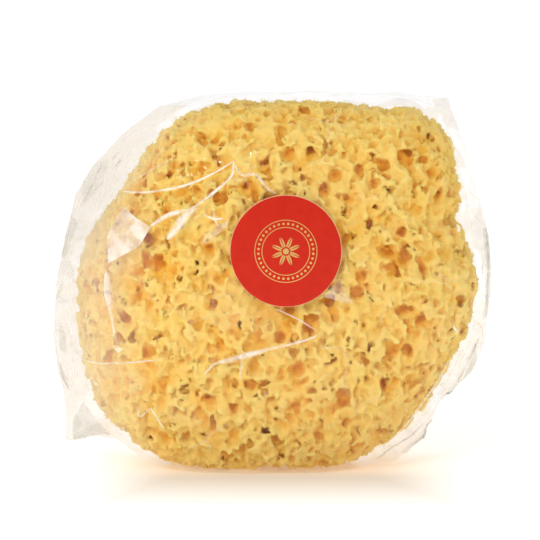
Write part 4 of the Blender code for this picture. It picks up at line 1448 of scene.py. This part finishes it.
# Where the open floor begins beside, behind and before the part, and where the contact strip lies.
BESIDE = (0.030, 0.070)
BEHIND = (-0.02, 0.03)
BEFORE = (-0.02, -0.10)
UNDER = (-0.032, -0.012)


def mixed(tree, share, first, second):
    """A Mix node of two colours, each a constant or a socket."""
    node = tree.nodes.new("ShaderNodeMix")
    node.data_type = "RGBA"
    tree.links.new(share, node.inputs["Factor"])
    for name, colour in (("A", first), ("B", second)):
        if isinstance(colour, tuple):
            node.inputs[name].default_value = colour
        else:
            tree.links.new(colour, node.inputs[name])
    return node.outputs["Result"]


def stage_floor():
    """A plain floor that glows less under the part and close to it, where it holds a soft shadow."""
    bm = bmesh.new()
    bmesh.ops.create_grid(bm, x_segments=1, y_segments=1, size=FLOOR_SIZE / 2)
    mesh = bpy.data.meshes.new("floor")
    bm.to_mesh(mesh)
    bm.free()
    floor = add_piece("floor", mesh)
    material = bpy.data.materials.new("white floor")
    material.use_nodes = True
    tree = material.node_tree
    shader = tree.nodes["Principled BSDF"]
    shader.inputs["Base Color"].default_value = FLOOR_WHITE
    shader.inputs["Roughness"].default_value = 0.8
    shader.inputs["Specular IOR Level"].default_value = 0.1
    shader.inputs["Emission Strength"].default_value = 1.0
    split = tree.nodes.new("ShaderNodeSeparateXYZ")
    tree.links.new(object_position(tree), split.inputs[0])
    beside = Field(tree, split.outputs[0]).math("ABSOLUTE").between(*BESIDE)
    behind = Field(tree, split.outputs[1]).between(*BEHIND)
    before = Field(tree, split.outputs[1]).between(*BEFORE)
    away = beside.math("MAXIMUM", behind).math("MAXIMUM", before)
    # Painted shade under the part, and painted warm bounce light in the contact strip.
    under = Field(tree, split.outputs[1]).between(*UNDER)
    shade = mixed(tree, under.socket, SHADE_GLOW, CONTACT_GLOW)
    glow = mixed(tree, away.socket, shade, OPEN_GLOW)
    tree.links.new(glow, shader.inputs["Emission Color"])
    mesh.materials.append(material)


# The world's strength for the camera, for light, and in front for rays that a mirror sends out.
WORLD_SEEN = 1.05
WORLD_LIGHT = 0.72
DARK_ROOM = 0.26


def studio_world():
    world = bpy.data.worlds.new("white studio")
    bpy.context.scene.world = world
    world.use_nodes = True
    tree = world.node_tree
    background = tree.nodes["Background"]
    path = tree.nodes.new("ShaderNodeLightPath")
    seen = Field(tree, path.outputs["Is Camera Ray"])
    split = tree.nodes.new("ShaderNodeSeparateXYZ")
    tree.links.new(tree.nodes.new("ShaderNodeTexCoord").outputs["Generated"], split.inputs[0])
    room = Field(tree, split.outputs[1]).between(0.9, 0.0) * (WORLD_LIGHT - DARK_ROOM)
    strength = seen * (WORLD_SEEN - WORLD_LIGHT) + WORLD_LIGHT
    strength = strength - Field(tree, path.outputs["Is Glossy Ray"]) * room
    tree.links.new(strength.socket, background.inputs["Strength"])
    background.inputs["Color"].default_value = (1.0, 1.0, 1.0, 1.0)


stage_floor()
studio_world()
bpy.context.scene.view_settings.view_transform = "Standard"
print("floor", FLOOR_SIZE, "m across, white world")

# %% Lights and camera
AIM = Vector((-2.4 * MM, 0.0, 68.0 * MM))
CAMERA_DISTANCE = 0.90
CAMERA_RISE = math.radians(6.0)
FRAME_WIDTH = 188.5 * MM
SENSOR_MM = 36.0


def area_light(name, place, size, watts, mirrored):
    light = bpy.data.lights.new(name, "AREA")
    light.shape = "DISK"
    light.size = size
    light.energy = watts
    lamp = bpy.data.objects.new(name, light)
    lamp.visible_glossy = mirrored
    lamp.location = place
    lamp.rotation_euler = (AIM - lamp.location).to_track_quat("-Z", "Y").to_euler()
    bpy.context.scene.collection.objects.link(lamp)


area_light("key", Vector((-0.50, -0.95, 0.60)), 0.50, 4.0, mirrored=False)
area_light("fill", Vector((0.9, -0.7, 0.35)), 0.6, 0.45, mirrored=False)
area_light("spark", Vector((-0.45, -0.8, 0.75)), 0.07, 0.5, mirrored=True)

lens = bpy.data.cameras.new("camera")
lens.sensor_width = SENSOR_MM
lens.lens = SENSOR_MM * CAMERA_DISTANCE / FRAME_WIDTH
camera = bpy.data.objects.new("camera", lens)
away = Vector((0.0, -math.cos(CAMERA_RISE), math.sin(CAMERA_RISE)))
camera.location = AIM + away * CAMERA_DISTANCE
camera.rotation_euler = (-away).to_track_quat("-Z", "Y").to_euler()
bpy.context.scene.collection.objects.link(camera)
bpy.context.scene.camera = camera
print("lens", round(lens.lens, 1), "mm at", CAMERA_DISTANCE, "m")
